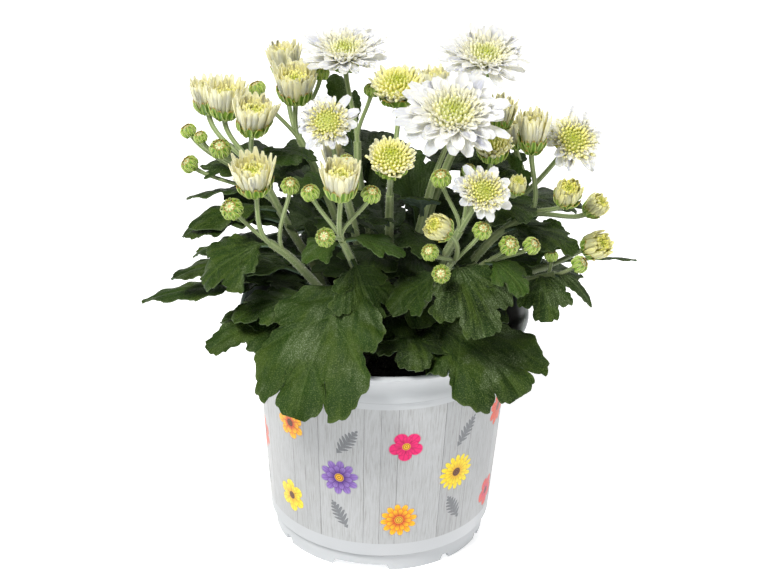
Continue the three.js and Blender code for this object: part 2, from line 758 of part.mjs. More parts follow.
function stalkCurve(curve, share, base, axis, sink) {
  const from = curve.getPoint(share);
  const along = curve.getTangent(share);
  const to = vec(base).addScaledVector(vec(axis).normalize(), sink);
  const reach = from.distanceTo(to) / 3;
  const first = from.clone().addScaledVector(along, reach);
  const second = to.clone().addScaledVector(vec(axis).normalize(), -reach);
  return new THREE.CubicBezierCurve3(from, first, second, to);
}

function greenHead(head) {
  const [, kind, , base, axis, size, height] = head;
  if (kind === "open") {
    return aimed(openInvolucre(height), base, axis);
  }
  if (kind === "bud") {
    return aimed(budGeometry(size), base, axis);
  }
  return aimed(cupInvolucre(size, height), base, axis);
}

function buildStem(stem) {
  const curve = stemCurve(stem);
  const solids = [toSolid(tube(curve, STEM_RADIUS, STEM_SIDES, STEM_STEPS))];
  for (const head of stem.heads) {
    const [, kind, place, base, axis] = head;
    const isBud = kind === "bud";
    const sink = isBud ? -BUD_SINK_SHARE * head[5] : STALK_SINK;
    const stalk = stalkCurve(curve, shareOf(stem, place), base, axis, sink);
    const radius = isBud ? BUD_STALK_RADIUS : STALK_RADIUS;
    solids.push(toSolid(tube(stalk, radius, STALK_SIDES, isBud ? BUD_STALK_STEPS : STALK_STEPS)));
    solids.push(toSolid(greenHead(head)));
  }
  for (const leaf of stem.leaves) {
    solids.push(toSolid(leafGeometry(curve.getPoint(shareOf(stem, leaf[0])), leaf)));
  }
  return fuse(solids);
}

function buildBloom(head) {
  const [, kind, , base, axis, size, height, count] = head;
  const makers = {
    open: () => openBloom(size, height, count),
    cup: () => cupBloom(size, height, CUP_PETALS, CUP_TIP_SHARE),
    opening: () => cupBloom(size, height, OPENING_PETALS, OPENING_TIP_SHARE),
  };
  return fuse(makers[kind]().map((geometry) => toSolid(aimed(geometry, base, axis))));
}

const chrysanthemum = new THREE.Group();
chrysanthemum.add(toMesh("pot", buildPot(), POT_WHITE, 0.4));
chrysanthemum.add(toMesh("compost", buildCompost(STEMS), COMPOST_BROWN, 0.95));
for (const stem of STEMS) {
  chrysanthemum.add(toMesh(stem.name, buildStem(stem), LEAF_GREEN, 0.7));
  for (const head of stem.heads) {
    if (head[1] !== "bud") {
      const colour = head[1] === "open" ? PETAL_WHITE : PETAL_CREAM;
      chrysanthemum.add(toMesh(head[0], buildBloom(head), colour, 0.6));
    }
  }
}

export default chrysanthemum;
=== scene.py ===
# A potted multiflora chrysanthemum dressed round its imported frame
# Lengths are worked out in millimetres, and each finished piece is scaled to metres
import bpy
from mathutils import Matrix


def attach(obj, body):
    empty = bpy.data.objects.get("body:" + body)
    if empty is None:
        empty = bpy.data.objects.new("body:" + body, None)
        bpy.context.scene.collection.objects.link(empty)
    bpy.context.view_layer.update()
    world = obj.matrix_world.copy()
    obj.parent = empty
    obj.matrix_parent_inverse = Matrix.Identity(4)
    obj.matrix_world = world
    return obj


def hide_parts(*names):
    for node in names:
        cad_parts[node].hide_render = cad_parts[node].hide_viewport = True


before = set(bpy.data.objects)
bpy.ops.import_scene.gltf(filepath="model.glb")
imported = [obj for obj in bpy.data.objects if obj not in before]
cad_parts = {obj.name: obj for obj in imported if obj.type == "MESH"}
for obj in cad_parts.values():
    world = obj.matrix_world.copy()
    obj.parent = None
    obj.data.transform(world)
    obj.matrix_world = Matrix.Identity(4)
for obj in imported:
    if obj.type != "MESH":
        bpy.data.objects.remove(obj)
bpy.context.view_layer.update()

import math

import bmesh
import bpy
import numpy as np
from mathutils import Matrix, Quaternion, Vector

MM = 0.001
UP = Vector((0, 0, 1))
GOLDEN_ANGLE = math.pi * (3 - math.sqrt(5))

# The photograph's view
VIEW_TARGET = Vector((0.5, 0, 118.8)) * MM
VIEW_DISTANCE = 1.8
VIEW_ELEVATION = math.radians(28.5)
VIEW_ROLL = math.radians(1.5)
SENSOR_WIDTH = 36
# From pixels to a millimetre, the distance in millimetres and the picture's width in pixels
LENS = SENSOR_WIDTH * 2.23 * 1800 / 772

# Lights: [name, place in metres, size, power, colour]
LIGHTS = [
    ["key_light", (-0.7, -1.0, 1.7), 0.6, 42, (1.0, 0.985, 0.95)],
    ["fill_light", (1.3, -1.3, 0.7), 0.9, 7, (1.0, 0.99, 0.98)],
    ["back_light", (0.5, 1.3, 1.4), 0.8, 14, (1.0, 1.0, 1.0)],
]
LIGHT_TARGET = Vector((0, 0, 0.12))
AIR_COLOUR = (0.95, 0.97, 1.0, 1)
AIR_STRENGTH = 0.2
FLOOR_REACH = 8
FLOOR_GLOW = 0.6

# Pot, as the solids have it
POT_TOP = 110
RIM_RADIUS = 65
COLLAR_BOTTOM = 93
WALL_TOP_RADIUS = 56.8
WALL_BOTTOM_RADIUS = 49.8
FOOT_RADIUS = 47.2
FOOT_HEIGHT = 9.5
GROOVE_WIDTH = 1.4
# Heights where painted shade darkens the steps at the foot and under the collar
SHADED_STEPS = [8.4, 92.6]
WALL = 1.4
POT_SIDES = 192
# The middle of the wall's thickness near the top: heights and radii
MID_WALL = ([60, 92, 95, 97.5, 103.6, 108], [54, 56.1, 57.4, 57.15, 58.6, 63.4])
PRINT_BOTTOM = 15.8
PRINT_TOP = 89
PRINT_EDGE = 0.15
PLANKS = 28
PRINT_RADIUS = 53.5

# Compost
SOIL_TOP = 96
SOIL_RADIUS = 55.2
SOIL_BOTTOM_RADIUS = 46.6
FLOOR_TOP = 5
GAP = 0.35
HOLE_BOTTOM = 88
CRUMBS_PER_MM2 = 0.16
CRUMB_SIZE = 1

# Stems and stalks
STEM_RADIUS = 1.95
STALK_RADIUS = 1.05
BUD_STALK_RADIUS = 0.85
HAIRS_PER_MM2 = 0.42
HAIR_LENGTH = 0.55
RIBS = 5
RIB_DEPTH = 0.055

# Leaves
LEAF_HALF_THICKNESS = 0.28
PETIOLE_HALF_THICKNESS = 0.8
PETIOLE_HALF_WIDTH = 0.95
PETIOLE_ROWS = 5
NEW_LEAF_WIDTH = 14
CUP = 0.12
WAVE = 0.035

# Open heads over the first radius are wide ones, and those over the second lie flat
WIDE_HEAD = 18
LARGE_HEAD = 22
# Steps of the random seed from one ring of petals to the next, and from one head to the next
ROW_SEEDS = 7
HEAD_SEEDS = 60

# Each stem: its name, the points of its path, its heads, its leaves and the leaves deep in the plant
# Path: [x, y] of its hole in the compost, then points
# Heads: [name, kind, place on the stem, base or centre, axis, size, height or scale]
# Leaves: [place on the stem, tip, lift, width, roll, form], or without the last two for 0 and lobed
STEMS = [
    ["stem_left_outer", [[-24, 4], [-28, 5, 118], [-44, 8, 146], [-56, 8, 170]], [
        ["bloom_left_cup_front", "cup", 3, [-60, -4, 197], [0.1, -0.1, 1], 9.6, 16],
        ["bloom_left_cup_middle", "cup", 3, [-73, 15, 195], [0.04, 0, 1], 9.2, 16],
        ["bloom_left_cup_back", "cup", 2.9, [-81, 34, 188], [-0.1, 0.1, 1], 8, 15],
        ["bud", "bud", 2.5, [-89, 17, 187], [-0.5, 0, 0.9], 3.4],
        ["bud", "bud", 2.7, [-83, 5, 190], [-0.3, -0.2, 0.9], 2.9],
        ["bud", "bud", 2.85, [-74, -2, 188], [-0.1, -0.5, 0.8], 4.5],
        ["bud", "bud", 2.3, [-88, 10, 174], [-0.6, -0.3, 0.7], 3.8],
    ], [
        [1, [-109, -2, 110], 5, 22, -10, "serrate"],
        [1.4, [-95, -12, 127], 6, 24, -12, "serrate"],
        [2, [-91, 8, 138], 7, 26, -8, "serrate"],
        [2.6, [-90, 22, 150], 4, 18, -16, "serrate"],
        [0.85, [-86, 34, 116], 12, 36],
    ], [
        [1.6, [-72, 30, 150], 6, 30],
        [0.6, [-74, 6, 122], 8, 32, -10, "lobed"],
        [2.9, [-82, 24, 166], 4, 24],
        [2.3, [-88, 2, 146], 4, 20, 0, "serrate"],
    ]],
    ["stem_left_front",
     [[-13, -15], [-14.5, -17, 109], [-24, -25, 126], [-34, -28, 140], [-43, -32, 152], [-51, -34, 159]], [
        ["bloom_left_stalked_cup", "cup", 5, [-57, -32, 182], [-0.12, -0.2, 0.96], 9.5, 17],
        ["bud", "bud", 4.9, [-67, -40, 178], [-0.3, -0.6, 0.7], 4.7],
        ["bud", "bud", 4, [-42, -40, 190], [0, -0.5, 0.8], 3.8],
    ], [
        [0.8, [-77, -42, 108], 12, 30, 10, "lobed"],
        [2.0, [-66, -42, 123], 6, 30, -4, "lobed"],
        [1.8, [-31, -46, 116], 4, 14, 0, "trifid"],
        [4.7, [-79, -42, 141], 6, 38, 4, "lobed"],
    ], [
        [1.4, [-58, -22, 122], 7, 28],
        [0.6, [-72, -24, 112], 9, 34, -8, "lobed"],
        [3.0, [-78, -14, 132], 5, 26],
    ]],
    ["stem_left_back", [[-14, 12], [-18, 16, 130], [-30, 24, 160], [-40, 30, 178]], [
        ["bloom_back_left_cup", "cup", 3, [-42, 29, 197], [-0.02, -0.15, 1], 10, 17],
        ["bloom_back_left_cup_small", "cup", 3, [-47, 48, 200], [-0.1, 0.1, 1], 7.8, 15],
        ["bud", "bud", 2.85, [-59, 27, 204], [-0.4, 0, 0.9], 3.6],
        ["bud", "bud", 2.85, [-31, 34, 209], [0.1, 0, 1], 3.6],
    ], [
        [1.6, [-80, 48, 162], 8, 28],
        [2.7, [-47, -2, 180], 4, 24, 0, "trifid"],
        [1.2, [-58, 68, 148], 8, 28],
    ], [
        [0.9, [-48, 22, 150], 6, 30],
        [2.2, [-50, 30, 168], 4, 26, 10, "lobed"],
        [0.5, [-60, 30, 118], 9, 36],
    ]],
    ["stem_back_middle", [[-4, 10], [-6, 16, 130], [-13, 22, 165], [-14, 25, 180]], [
        ["bloom_top_left_open", "open", 3, [-20, 32, 212], [-0.06, -0.12, 1], 19.4, 1.0],
        ["bud", "bud", 3, [-8, 26, 205], [0.2, 0.1, 1], 3.4],
    ], [
        [2.3, [-26, 46, 203], 3, 18, 0, "trifid"],
        [1.8, [-8, 58, 168], 8, 26],
    ], [
        [0.8, [-22, 40, 150], 6, 34],
        [1.5, [4, 44, 172], 5, 30],
        [0.4, [-10, 56, 128], 8, 36],
    ]],
    ["stem_middle_front_high", [[-8, -4], [-10, -8, 130], [-16, -14, 165], [-20, -17, 180]], [
        ["bud", "bud", 2.5, [-18, -41, 203], [0.1, -0.5, 0.8], 3.2],
        ["bloom_middle_left_open", "open", 3, [-26, -20, 209], [-0.08, -0.7, 0.7], 13.6, 0.8],
    ], [
        [2.2, [-44, -14, 176], 5, 26, 0, "trifid"],
        [1.6, [-29, -31, 164], 5, 18, 0, "trifid"],
    ], [
        [0.7, [-30, 6, 132], 7, 32],
        [1.1, [8, -2, 146], 5, 26],
    ]],
    ["stem_front_umbel", [[-4, -20], [-8, -26, 118], [-13, -37, 148], [-19, -45, 167]], [
        ["bloom_front_cup", "cup", 3, [-20, -54, 192], [0, -0.15, 1], 9, 16],
        ["bud", "bud", 3, [-33, -50, 192], [-0.3, -0.3, 0.9], 3.8],
        ["bud", "bud", 3, [-7, -52, 193], [0.2, -0.4, 0.9], 4],
        ["bud", "bud", 2.93, [-26, -62, 177], [-0.2, -0.7, 0.6], 4.1],
    ], [
        [1.75, [-37, -81, 98], 14, 56, 0, "broad"],
        [2.4, [-6, -56, 131], 4, 32],
        [2.95, [8, -50, 162], 4, 18, 0, "trifid"],
        [2.7, [-36, -50, 158], 5, 20, 0, "trifid"],
    ], []],
    ["stem_centre", [[2, -8], [2, -12, 130], [1, -18, 165], [1, -22, 178]], [
        ["bloom_centre_yellow_small", "yellow", 3, [1, -42, 200], [0.03, -0.4, 0.92], 10.6, 14],
        ["bloom_centre_yellow", "yellow", 3, [4, 12, 207], [-0.05, -0.2, 0.97], 12.2, 15],
    ], [
        [1.8, [-6, -40, 172], 4, 16, 0, "trifid"],
    ], [
        [0.8, [10, 30, 140], 6, 34],
        [1.3, [-8, 26, 158], 5, 28],
        [0.7, [-4, -48, 112], 7, 32],
        [1.0, [18, -44, 124], 6, 30],
        [1.5, [-12, -42, 148], 5, 28],
    ]],
    ["stem_centre_right_high", [[8, -4], [12, -7, 140], [20, -11, 180]], [
        ["bloom_large_open", "open", 2, [27, -14, 206], [0.06, -0.36, 0.93], 24.3, 1.15],
    ], [
        [1.3, [7, 12, 184], 4, 28, 0, "trifid"],
        [1.5, [13, -31, 180], 4, 18, 0, "trifid"],
    ], [
        [0.8, [30, 36, 150], 6, 34],
        [0.4, [26, 54, 126], 8, 36],
        [1.2, [13, -44, 140], 5, 30],
    ]],
    ["stem_right_front_high", [[14, -14], [17, -18, 120], [25, -28, 150], [32, -35, 168]], [
        ["bloom_right_front_open", "open", 3, [40, -43, 188], [0.2, -0.6, 0.77], 13.6, 0.8],
        ["bud", "bud", 2.85, [23, -41, 196], [-0.1, -0.4, 0.9], 4.2],
        ["bud", "bud", 3, [35, -30, 195], [0.1, -0.2, 1], 2.8],
    ], [
        [2.1, [5, -34, 160], 5, 28],
    ], [
        [0.8, [44, -14, 128], 7, 28],
    ]],
    ["stem_right_front", [[8, -24], [12, -30, 116], [21, -40, 142], [29, -47, 158]], [
        ["bloom_right_front_opening", "opening", 3, [26.5, -57.5, 178.3], [-0.6, -0.5, 0.62], 6.6, 13],
        ["bud", "bud", 3, [41, -54, 178], [0.2, -0.5, 0.8], 3.9],
        ["bud", "bud", 2.93, [24, -68, 164], [-0.1, -0.8, 0.5], 3.9],
        ["bud", "bud", 2.93, [19, -62, 171], [-0.3, -0.6, 0.7], 3.6],
    ], [
        [0.9, [60, -65, 102], 13, 52, -16, "broad"],
        [2.9, [43, -73, 136], 8, 40],
        [2.6, [3, -53, 136], 4, 30],
        [0.5, [14, -67, 115], 9, 32],
    ], []],
    ["stem_right_side_front", [[20, -18], [24, -22, 116], [34, -32, 140], [44, -40, 155]], [
        ["bud", "bud", 3, [53, -50, 169], [0.2, -0.6, 0.7], 4.2],
        ["bud", "bud", 2.9, [63, -44, 166], [0.5, -0.4, 0.7], 3.7],
    ], [
        [2.95, [60, -55, 147], 5, 20, 0, "trifid"],
        [1.3, [52, -34, 130], 6, 18],
    ], []],
    ["stem_back_right", [[10, 8], [14, 12, 130], [24, 20, 165], [32, 25, 185]], [
        ["bloom_top_right_open", "open", 3, [41, 32, 212], [0.08, -0.2, 1], 20.4, 1.0],
        ["bloom_back_right_cup", "cup", 2.95, [21, 37, 197], [-0.15, 0.1, 1], 7, 13],
        ["bloom_back_right_cup_side", "cup", 2.93, [49, 10, 196], [0.1, -0.1, 1], 6.2, 14],
    ], [
        [1.8, [36, 52, 164], 8, 30],
    ], [
        [0.9, [50, 44, 146], 6, 34],
    ]],
    ["stem_right_middle", [[20, -4], [24, -5, 130], [36, -8, 162], [42, -10, 174]], [
        ["bloom_right_yellow_cup", "yellow", 3, [45, -11, 191], [0.05, -0.2, 1], 8.6, 14],
        ["bloom_right_small_opening", "opening", 3, [56, -25, 182], [0.1, -0.3, 0.95], 4.6, 9],
    ], [
        [2, [63, -24, 168], 6, 30],
    ], [
        [0.8, [44, 24, 140], 6, 32],
        [2.4, [50, 10, 180], 3, 24],
    ]],
    ["stem_right_cups", [[27, 2], [31, 2, 118], [48, 1, 146], [62, 0, 158]], [
        ["bloom_right_tall_cup", "cup", 3, [63, 3, 188], [0.02, -0.05, 1], 6.8, 19],
        ["bloom_right_opening", "opening", 3, [78, -10, 170], [0.15, -0.4, 0.9], 7.2, 13],
        ["bloom_far_right_opening", "opening", 2.9, [89, 6, 157], [0.6, -0.3, 0.75], 5.8, 12],
    ], [
        [2.2, [84, -14, 147], 6, 24],
        [2.6, [54, 15, 180], 2, 18, 0, "trifid"],
    ], [
        [0.9, [70, 14, 128], 7, 30],
        [1.7, [80, 10, 140], 5, 26],
    ]],
    ["stem_right_open", [[24, 12], [28, 14, 118], [46, 17, 145], [62, 19, 160]], [
        ["bloom_right_open", "open", 3, [79, 22, 181], [0.3, -0.55, 0.78], 16, 0.9],
        ["bloom_right_back_cup", "cup", 2.9, [57, 27, 178], [-0.05, 0.1, 1], 6.2, 13],
    ], [
        [2.1, [88, 40, 142], 8, 28],
    ], [
        [0.9, [66, 46, 136], 6, 32],
        [1.6, [60, 34, 156], 4, 24],
        [2.4, [48, 36, 174], 4, 26],
    ]],
    ["stem_right_low", [[31, -5], [35, -7, 110], [50, -16, 128], [62, -23, 137], [75, -27, 143]], [
        ["bud", "bud", 4, [85, -28, 149], [0.7, -0.3, 0.6], 3.7],
        ["bud", "bud", 3.6, [73, -19, 148], [0, 0, 1], 2.8],
    ], [
        [3.5, [71, -45, 129], 6, 24],
        [3.97, [91, -34, 131], 4, 8, 0, "bract"],
    ], []],
    ["stem_far_right", [[33, 7], [37, 8, 108], [56, 8, 122], [73, 6, 130]], [
        ["bloom_far_right_half_open", "opening", 3, [89, 2, 141], [0.65, -0.5, 0.55], 7.6, 13],
    ], [
        [2.9, [113, 14, 129], 3, 12, 24, "serrate"],
        [2.7, [76, 18, 147], 1, 18, 0, "trifid"],
        [0.9, [88, 30, 112], 9, 32],
    ], []],
    ["stem_rear_left", [[-8, 22], [-10, 28, 108], [-16, 42, 126], [-20, 50, 134]], [
        ["bloom_rear_left_cup", "cup", 3, [-20, 60, 144], [-0.1, 0.6, 0.8], 10, 16],
        ["bud", "bud", 2.9, [-34, 58, 142], [-0.3, 0.5, 0.8], 3.8],
    ], [
        [0.9, [-34, 86, 104], 14, 42],
        [1.8, [-2, 76, 124], 6, 24],
    ], []],
    ["stem_rear_right", [[10, 22], [14, 28, 108], [28, 42, 126], [35, 50, 132]], [
        ["bloom_rear_right_cup", "cup", 3, [40, 61, 142], [0.1, 0.6, 0.8], 10, 16],
        ["bud", "bud", 2.9, [24, 58, 146], [0, 0.4, 0.9], 3.8],
    ], [
        [0.9, [44, 84, 104], 13, 42],
        [1.6, [66, 62, 116], 8, 30],
    ], []],
    ["stem_rear_left_low", [[-22, 16], [-26, 20, 108], [-40, 34, 122], [-50, 44, 128]], [
        ["bloom_rear_left_cup_low", "cup", 3, [-57, 53, 135], [-0.4, 0.4, 0.8], 8, 14],
        ["bud", "bud", 2.9, [-68, 36, 138], [-0.6, 0.2, 0.7], 3.8],
    ], [
        [1, [-72, 62, 104], 10, 38],
    ], []],
]

# Half outlines of the leaves: [along the blade, share of the half width, where the vein leaves the midrib]
LOBED = [
    [0, 0.05, 0], [0.07, 0.17, 0.02], [0.13, 0.4, 0.05], [0.18, 0.56, 0.08], [0.27, 0.72, 0.12],
    [0.37, 0.8, 0.17], [0.43, 0.74, 0.2], [0.44, 0.58, 0.23], [0.4, 0.42, 0.27], [0.385, 0.34, 0.3],
    [0.42, 0.46, 0.32], [0.47, 0.7, 0.35], [0.54, 0.92, 0.38], [0.63, 1, 0.41], [0.71, 0.93, 0.45],
    [0.745, 0.76, 0.49], [0.73, 0.56, 0.53], [0.7, 0.4, 0.58], [0.74, 0.4, 0.62], [0.81, 0.44, 0.68],
    [0.9, 0.42, 0.75], [0.96, 0.27, 0.84], [0.99, 0.12, 0.93],
]
BROAD = [
    [0, 0.05, 0], [0.05, 0.22, 0.02], [0.09, 0.42, 0.04], [0.15, 0.6, 0.06], [0.25, 0.8, 0.1],
    [0.36, 0.93, 0.14], [0.45, 0.92, 0.17], [0.51, 0.82, 0.2], [0.51, 0.7, 0.23], [0.48, 0.61, 0.27],
    [0.56, 0.72, 0.29], [0.64, 0.88, 0.31], [0.73, 0.95, 0.34], [0.83, 0.91, 0.38], [0.91, 0.8, 0.42],
    [0.955, 0.64, 0.46], [0.93, 0.5, 0.5], [0.84, 0.38, 0.54], [0.79, 0.33, 0.58], [0.84, 0.37, 0.63],
    [0.91, 0.37, 0.7], [0.965, 0.29, 0.77], [0.99, 0.18, 0.86],
]
TRIFID = [
    [0, 0.07, 0], [0.1, 0.24, 0.03], [0.2, 0.45, 0.07], [0.3, 0.66, 0.12], [0.42, 0.88, 0.2],
    [0.56, 1, 0.3], [0.63, 0.86, 0.36], [0.62, 0.64, 0.42], [0.6, 0.48, 0.48], [0.68, 0.5, 0.56],
    [0.78, 0.52, 0.64], [0.87, 0.45, 0.73], [0.95, 0.24, 0.86],
]
SERRATE = [
    [0, 0.08, 0], [0.08, 0.3, 0.05], [0.18, 0.64, 0.12], [0.3, 0.9, 0.2], [0.36, 0.78, 0.26],
    [0.38, 0.64, 0.32], [0.46, 0.84, 0.39], [0.6, 1, 0.48], [0.66, 0.84, 0.55], [0.74, 0.8, 0.64],
    [0.84, 0.62, 0.74], [0.92, 0.36, 0.86],
]
BRACT = [
    [0, 0.15, 0], [0.12, 0.52, 0.08], [0.3, 0.9, 0.2], [0.48, 0.98, 0.38], [0.66, 0.8, 0.6],
    [0.84, 0.44, 0.8],
]
# Each form: its outline, the petiole's share of the length, and the outline points that main veins run to
FORMS = {
    "lobed": (LOBED, 0.2, [5, 13, 20]),
    "broad": (BROAD, 0.17, [5, 12, 20]),
    "trifid": (TRIFID, 0.22, [5, 10]),
    "serrate": (SERRATE, 0.22, [3, 7, 9]),
    "bract": (BRACT, 0.1, [2]),
}


def added(name, data):
    """A new object in the scene"""
    item = bpy.data.objects.new(name, data)
    bpy.context.scene.collection.objects.link(item)
    return item


def make_camera():
    """The photograph's viewpoint"""
    back = Vector((0, -math.cos(VIEW_ELEVATION), math.sin(VIEW_ELEVATION)))
    data = bpy.data.cameras.new("photo_camera")
    data.sensor_width = SENSOR_WIDTH
    data.lens = LENS
    data.clip_start = 0.1
    camera = added("photo_camera", data)
    camera.rotation_mode = "QUATERNION"
    camera.location = VIEW_TARGET + back * VIEW_DISTANCE
    camera.rotation_quaternion = (-back).to_track_quat("-Z", "Y") @ Quaternion((0, 0, 1), VIEW_ROLL)
    bpy.context.scene.camera = camera


make_camera()


# Nodes
class Number:
    """What a node gives. A sum done with it adds the node that does that sum."""

    def __init__(self, steps, socket):
        self.steps = steps
        self.socket = socket

    def do(self, operation, other=0.0):
        return self.steps.math(operation, self, other)

    def __add__(self, other):
        return self.do("ADD", other)

    def __sub__(self, other):
        return self.do("SUBTRACT", other)

    def __rsub__(self, other):
        return self.steps.math("SUBTRACT", other, self)

    def __mul__(self, other):
        return self.do("MULTIPLY", other)

    def __truediv__(self, other):
        return self.do("DIVIDE", other)

    def __rtruediv__(self, other):
        return self.steps.math("DIVIDE", other, self)

    def __pow__(self, power):
        return self.do("POWER", power)

    def __abs__(self):
        return self.do("ABSOLUTE")

    def rising(self, low, high):
        """0 below low, 1 above high, smooth between them"""
        inputs = {0: self, 1: low, 2: high}
        return self.steps.step("ShaderNodeMapRange", inputs, interpolation_type="SMOOTHSTEP")

    def falling(self, low, high):
        return 1 - self.rising(low, high)


def named(sockets, name):
    return next(socket for socket in sockets if socket.name == name and socket.enabled)


class Steps:
    """A node tree that is built a step at a time"""

    def put(self, socket, value):
        if isinstance(value, Number):
            self.tree.links.new(value.socket, socket)
        else:
            socket.default_value = (*value, 1) if socket.type == "RGBA" else value

    def node(self, kind, inputs, **settings):
        made = self.tree.nodes.new(kind)
        for key, value in settings.items():
            setattr(made, key, value)
        for key, value in inputs.items():
            self.put(made.inputs[key] if isinstance(key, int) else named(made.inputs, key), value)
        return made

    def step(self, kind, inputs=None, output=0, **settings):
        outputs = self.node(kind, inputs or {}, **settings).outputs
        return Number(self, outputs[output] if isinstance(output, int) else named(outputs, output))

    def math(self, operation, a, b):
        return self.step("ShaderNodeMath", {0: a, 1: b}, operation=operation)

    def vector(self, x, y, z):
        return self.step("ShaderNodeCombineXYZ", {0: x, 1: y, 2: z})


# Finishes
class Finish(Steps):
    """A material"""

    def __init__(self, name, roughness, levels=None):
        self.material = bpy.data.materials.new(name)
        self.material.use_nodes = True
        self.tree = self.material.node_tree
        self.shader = self.tree.nodes["Principled BSDF"]
        for label, value in {"Roughness": roughness, **(levels or {})}.items():
            self.shader.inputs[label].default_value = value

    def mix(self, share, a, b, blend="MIX"):
        return self.step("ShaderNodeMix", {0: share, 6: a, 7: b}, 2, data_type="RGBA", blend_type=blend)

    def shade(self, colour, share):
        """The colour multiplied by a share"""
        return self.mix(1, colour, share, "MULTIPLY")

    def place(self):
        """The point's place in the frame, in metres"""
        return self.step("ShaderNodeTexCoord", output="Object")

    def split(self, vector):
        return [Number(self, part) for part in self.node("ShaderNodeSeparateXYZ", {0: vector}).outputs]

    def own(self, name):
        """A number that the piece carries on its points"""
        return self.step("ShaderNodeAttribute", output="Fac", attribute_name=name)

    def skin(self):
        """The way along and the way across, both from 0 to 1"""
        return self.split(self.step("ShaderNodeUVMap", uv_map="skin"))[:2]

    def noise(self, place, scale, detail=2, roughness=0.5):
        return self.step("ShaderNodeTexNoise", {
            "Vector": place, "Scale": scale, "Detail": detail, "Roughness": roughness}, "Fac")

    def ramp(self, value, stops, interpolation="LINEAR"):
        made = self.node("ShaderNodeValToRGB", {0: value})
        made.color_ramp.interpolation = interpolation
        elements = made.color_ramp.elements
        while len(elements) < len(stops):
            elements.new(0.5)
        for element, (at, colour) in zip(elements, stops):
            element.position = at
            element.color = (*colour, 1)
        return Number(self, made.outputs[0])

    def bump(self, height, depth_mm, strength):
        inputs = {"Height": height, "Distance": depth_mm * MM, "Strength": strength}
        self.put(self.shader.inputs["Normal"], self.step("ShaderNodeBump", inputs))

    def done(self, colour):
        self.put(self.shader.inputs["Base Color"], colour)
        return self.material


def leaf_finish():
    """Deep velvety green with painted light on folds that fan out to the lobes, a painted sheen over them,
    painted shade deep inside the plant, fine grey down and a blue-grey underside
    """
    f = Finish("leaf_green", 0.5, {"Specular IOR Level": 0.12})
    place = f.place()
    tone = f.own("tone")
    patches = f.noise(place, 70, 3)
    darkest = (0.005, 0.012, 0.002)
    blade = f.mix(patches.rising(0.3, 0.7), darkest, (0.012, 0.03, 0.004))
    blade = f.mix(tone * 0.5, blade, (0.026, 0.066, 0.006))
    blade = f.mix(f.own("young"), blade, (0.085, 0.19, 0.02))
    on_leaf = f.vector(f.own("fan") * 7, f.own("far") * 0.045, tone * 60)
    # Painted light: a lighter green laid along the folds that fan out to the lobes
    lit_folds = f.noise(on_leaf, 1, 4, 0.6).rising(0.4, 0.64)
    blade = f.mix(lit_folds * 0.66, blade, (0.047, 0.08, 0.009))
    vein = f.own("vein_mm").falling(0.05, 0.7)
    blade = f.mix(vein * 0.2, blade, (0.09, 0.15, 0.035))
    down = f.noise(place, 2100, 1).rising(0.48, 0.7)
    blade = f.mix(down * 0.26, blade, (0.19, 0.25, 0.08))
    # Painted sheen: silver-grey patches on the lit folds, stronger where the down is
    painted_sheen = f.noise(place, 60, 3).rising(0.48, 0.64) * lit_folds
    blade = f.mix(painted_sheen * (down * 0.34 + 0.07), blade, (0.3, 0.36, 0.26))
    x, y, z = f.split(place)
    # Painted shade: near the plant's axis and below the heads, the top and the underside are darkened towards
    # the darkest green
    painted_inner_shade = (x * x + y * y).do("SQRT").falling(0.025, 0.075) * z.falling(0.165, 0.205)
    blade = f.mix(painted_inner_shade * 0.75, blade, darkest)
    edge = f.own("edge").rising(0.96, 1)
    blade = f.mix(edge * 0.15, blade, (0.15, 0.2, 0.06))
    under = f.mix(patches.rising(0.35, 0.65), (0.075, 0.12, 0.085), (0.14, 0.2, 0.15))
    under = f.mix(vein * 0.6, under, (0.2, 0.26, 0.16))
    under = f.mix(painted_inner_shade * 0.6, under, (0.01, 0.02, 0.01))
    under = f.mix(edge * 0.75, under, blade)
    f.bump(f.noise(place, 1100, 3) * 0.5 + f.noise(on_leaf, 1.6), 1.2, 0.8)
    return f.done(f.mix(f.own("face_up"), under, blade))


def stem_finish():
    """Pale grey-green bark with lighter ribs and darker furrows, and painted shade that darkens it low down
    """
    f = Finish("stem_green", 0.6, {"Sheen Weight": 0.2})
    place = f.place()
    bark = f.mix(f.own("ridge").rising(0.2, 0.9), (0.19, 0.26, 0.09), (0.33, 0.4, 0.18))
    # Painted shade: the bark darkens low down, where the foliage above shades it
    bark = f.mix(f.split(place)[2].falling(0.115, 0.185), bark, (0.06, 0.085, 0.025))
    bark = f.mix(f.noise(place, 220, 3).rising(0.45, 0.75) * 0.25, bark, (0.24, 0.24, 0.1))
    f.bump(f.noise(place, 1500), 0.2, 0.5)
    return f.done(bark)


def hair_finish():
    f = Finish("stem_down", 0.7)
    return f.done(f.mix(f.noise(f.place(), 700, 1).rising(0.4, 0.6), (0.45, 0.5, 0.36), (0.62, 0.65, 0.52)))


def bract_finish():
    """Overlapping green scales: dark keel, pale edges, papery orange-brown tips"""
    f = Finish("bract_green", 0.45)
    along, across = f.skin()
    place = f.place()
    off_keel = abs(across - 0.5)
    scale = f.mix(off_keel.rising(0.08, 0.4), (0.09, 0.2, 0.015), (0.29, 0.43, 0.05))
    scale = f.mix(f.noise(place, 900).rising(0.4, 0.7) * 0.4, scale, (0.17, 0.3, 0.04))
    scale = f.mix(off_keel.rising(0.38, 0.48) * 0.7, scale, (0.58, 0.64, 0.26))
    scale = f.mix(along.rising(0.84, 0.99) * 0.75, scale, (0.42, 0.19, 0.035))
    f.bump(f.noise(place, 1400), 0.15, 0.4)
    return f.done(scale)


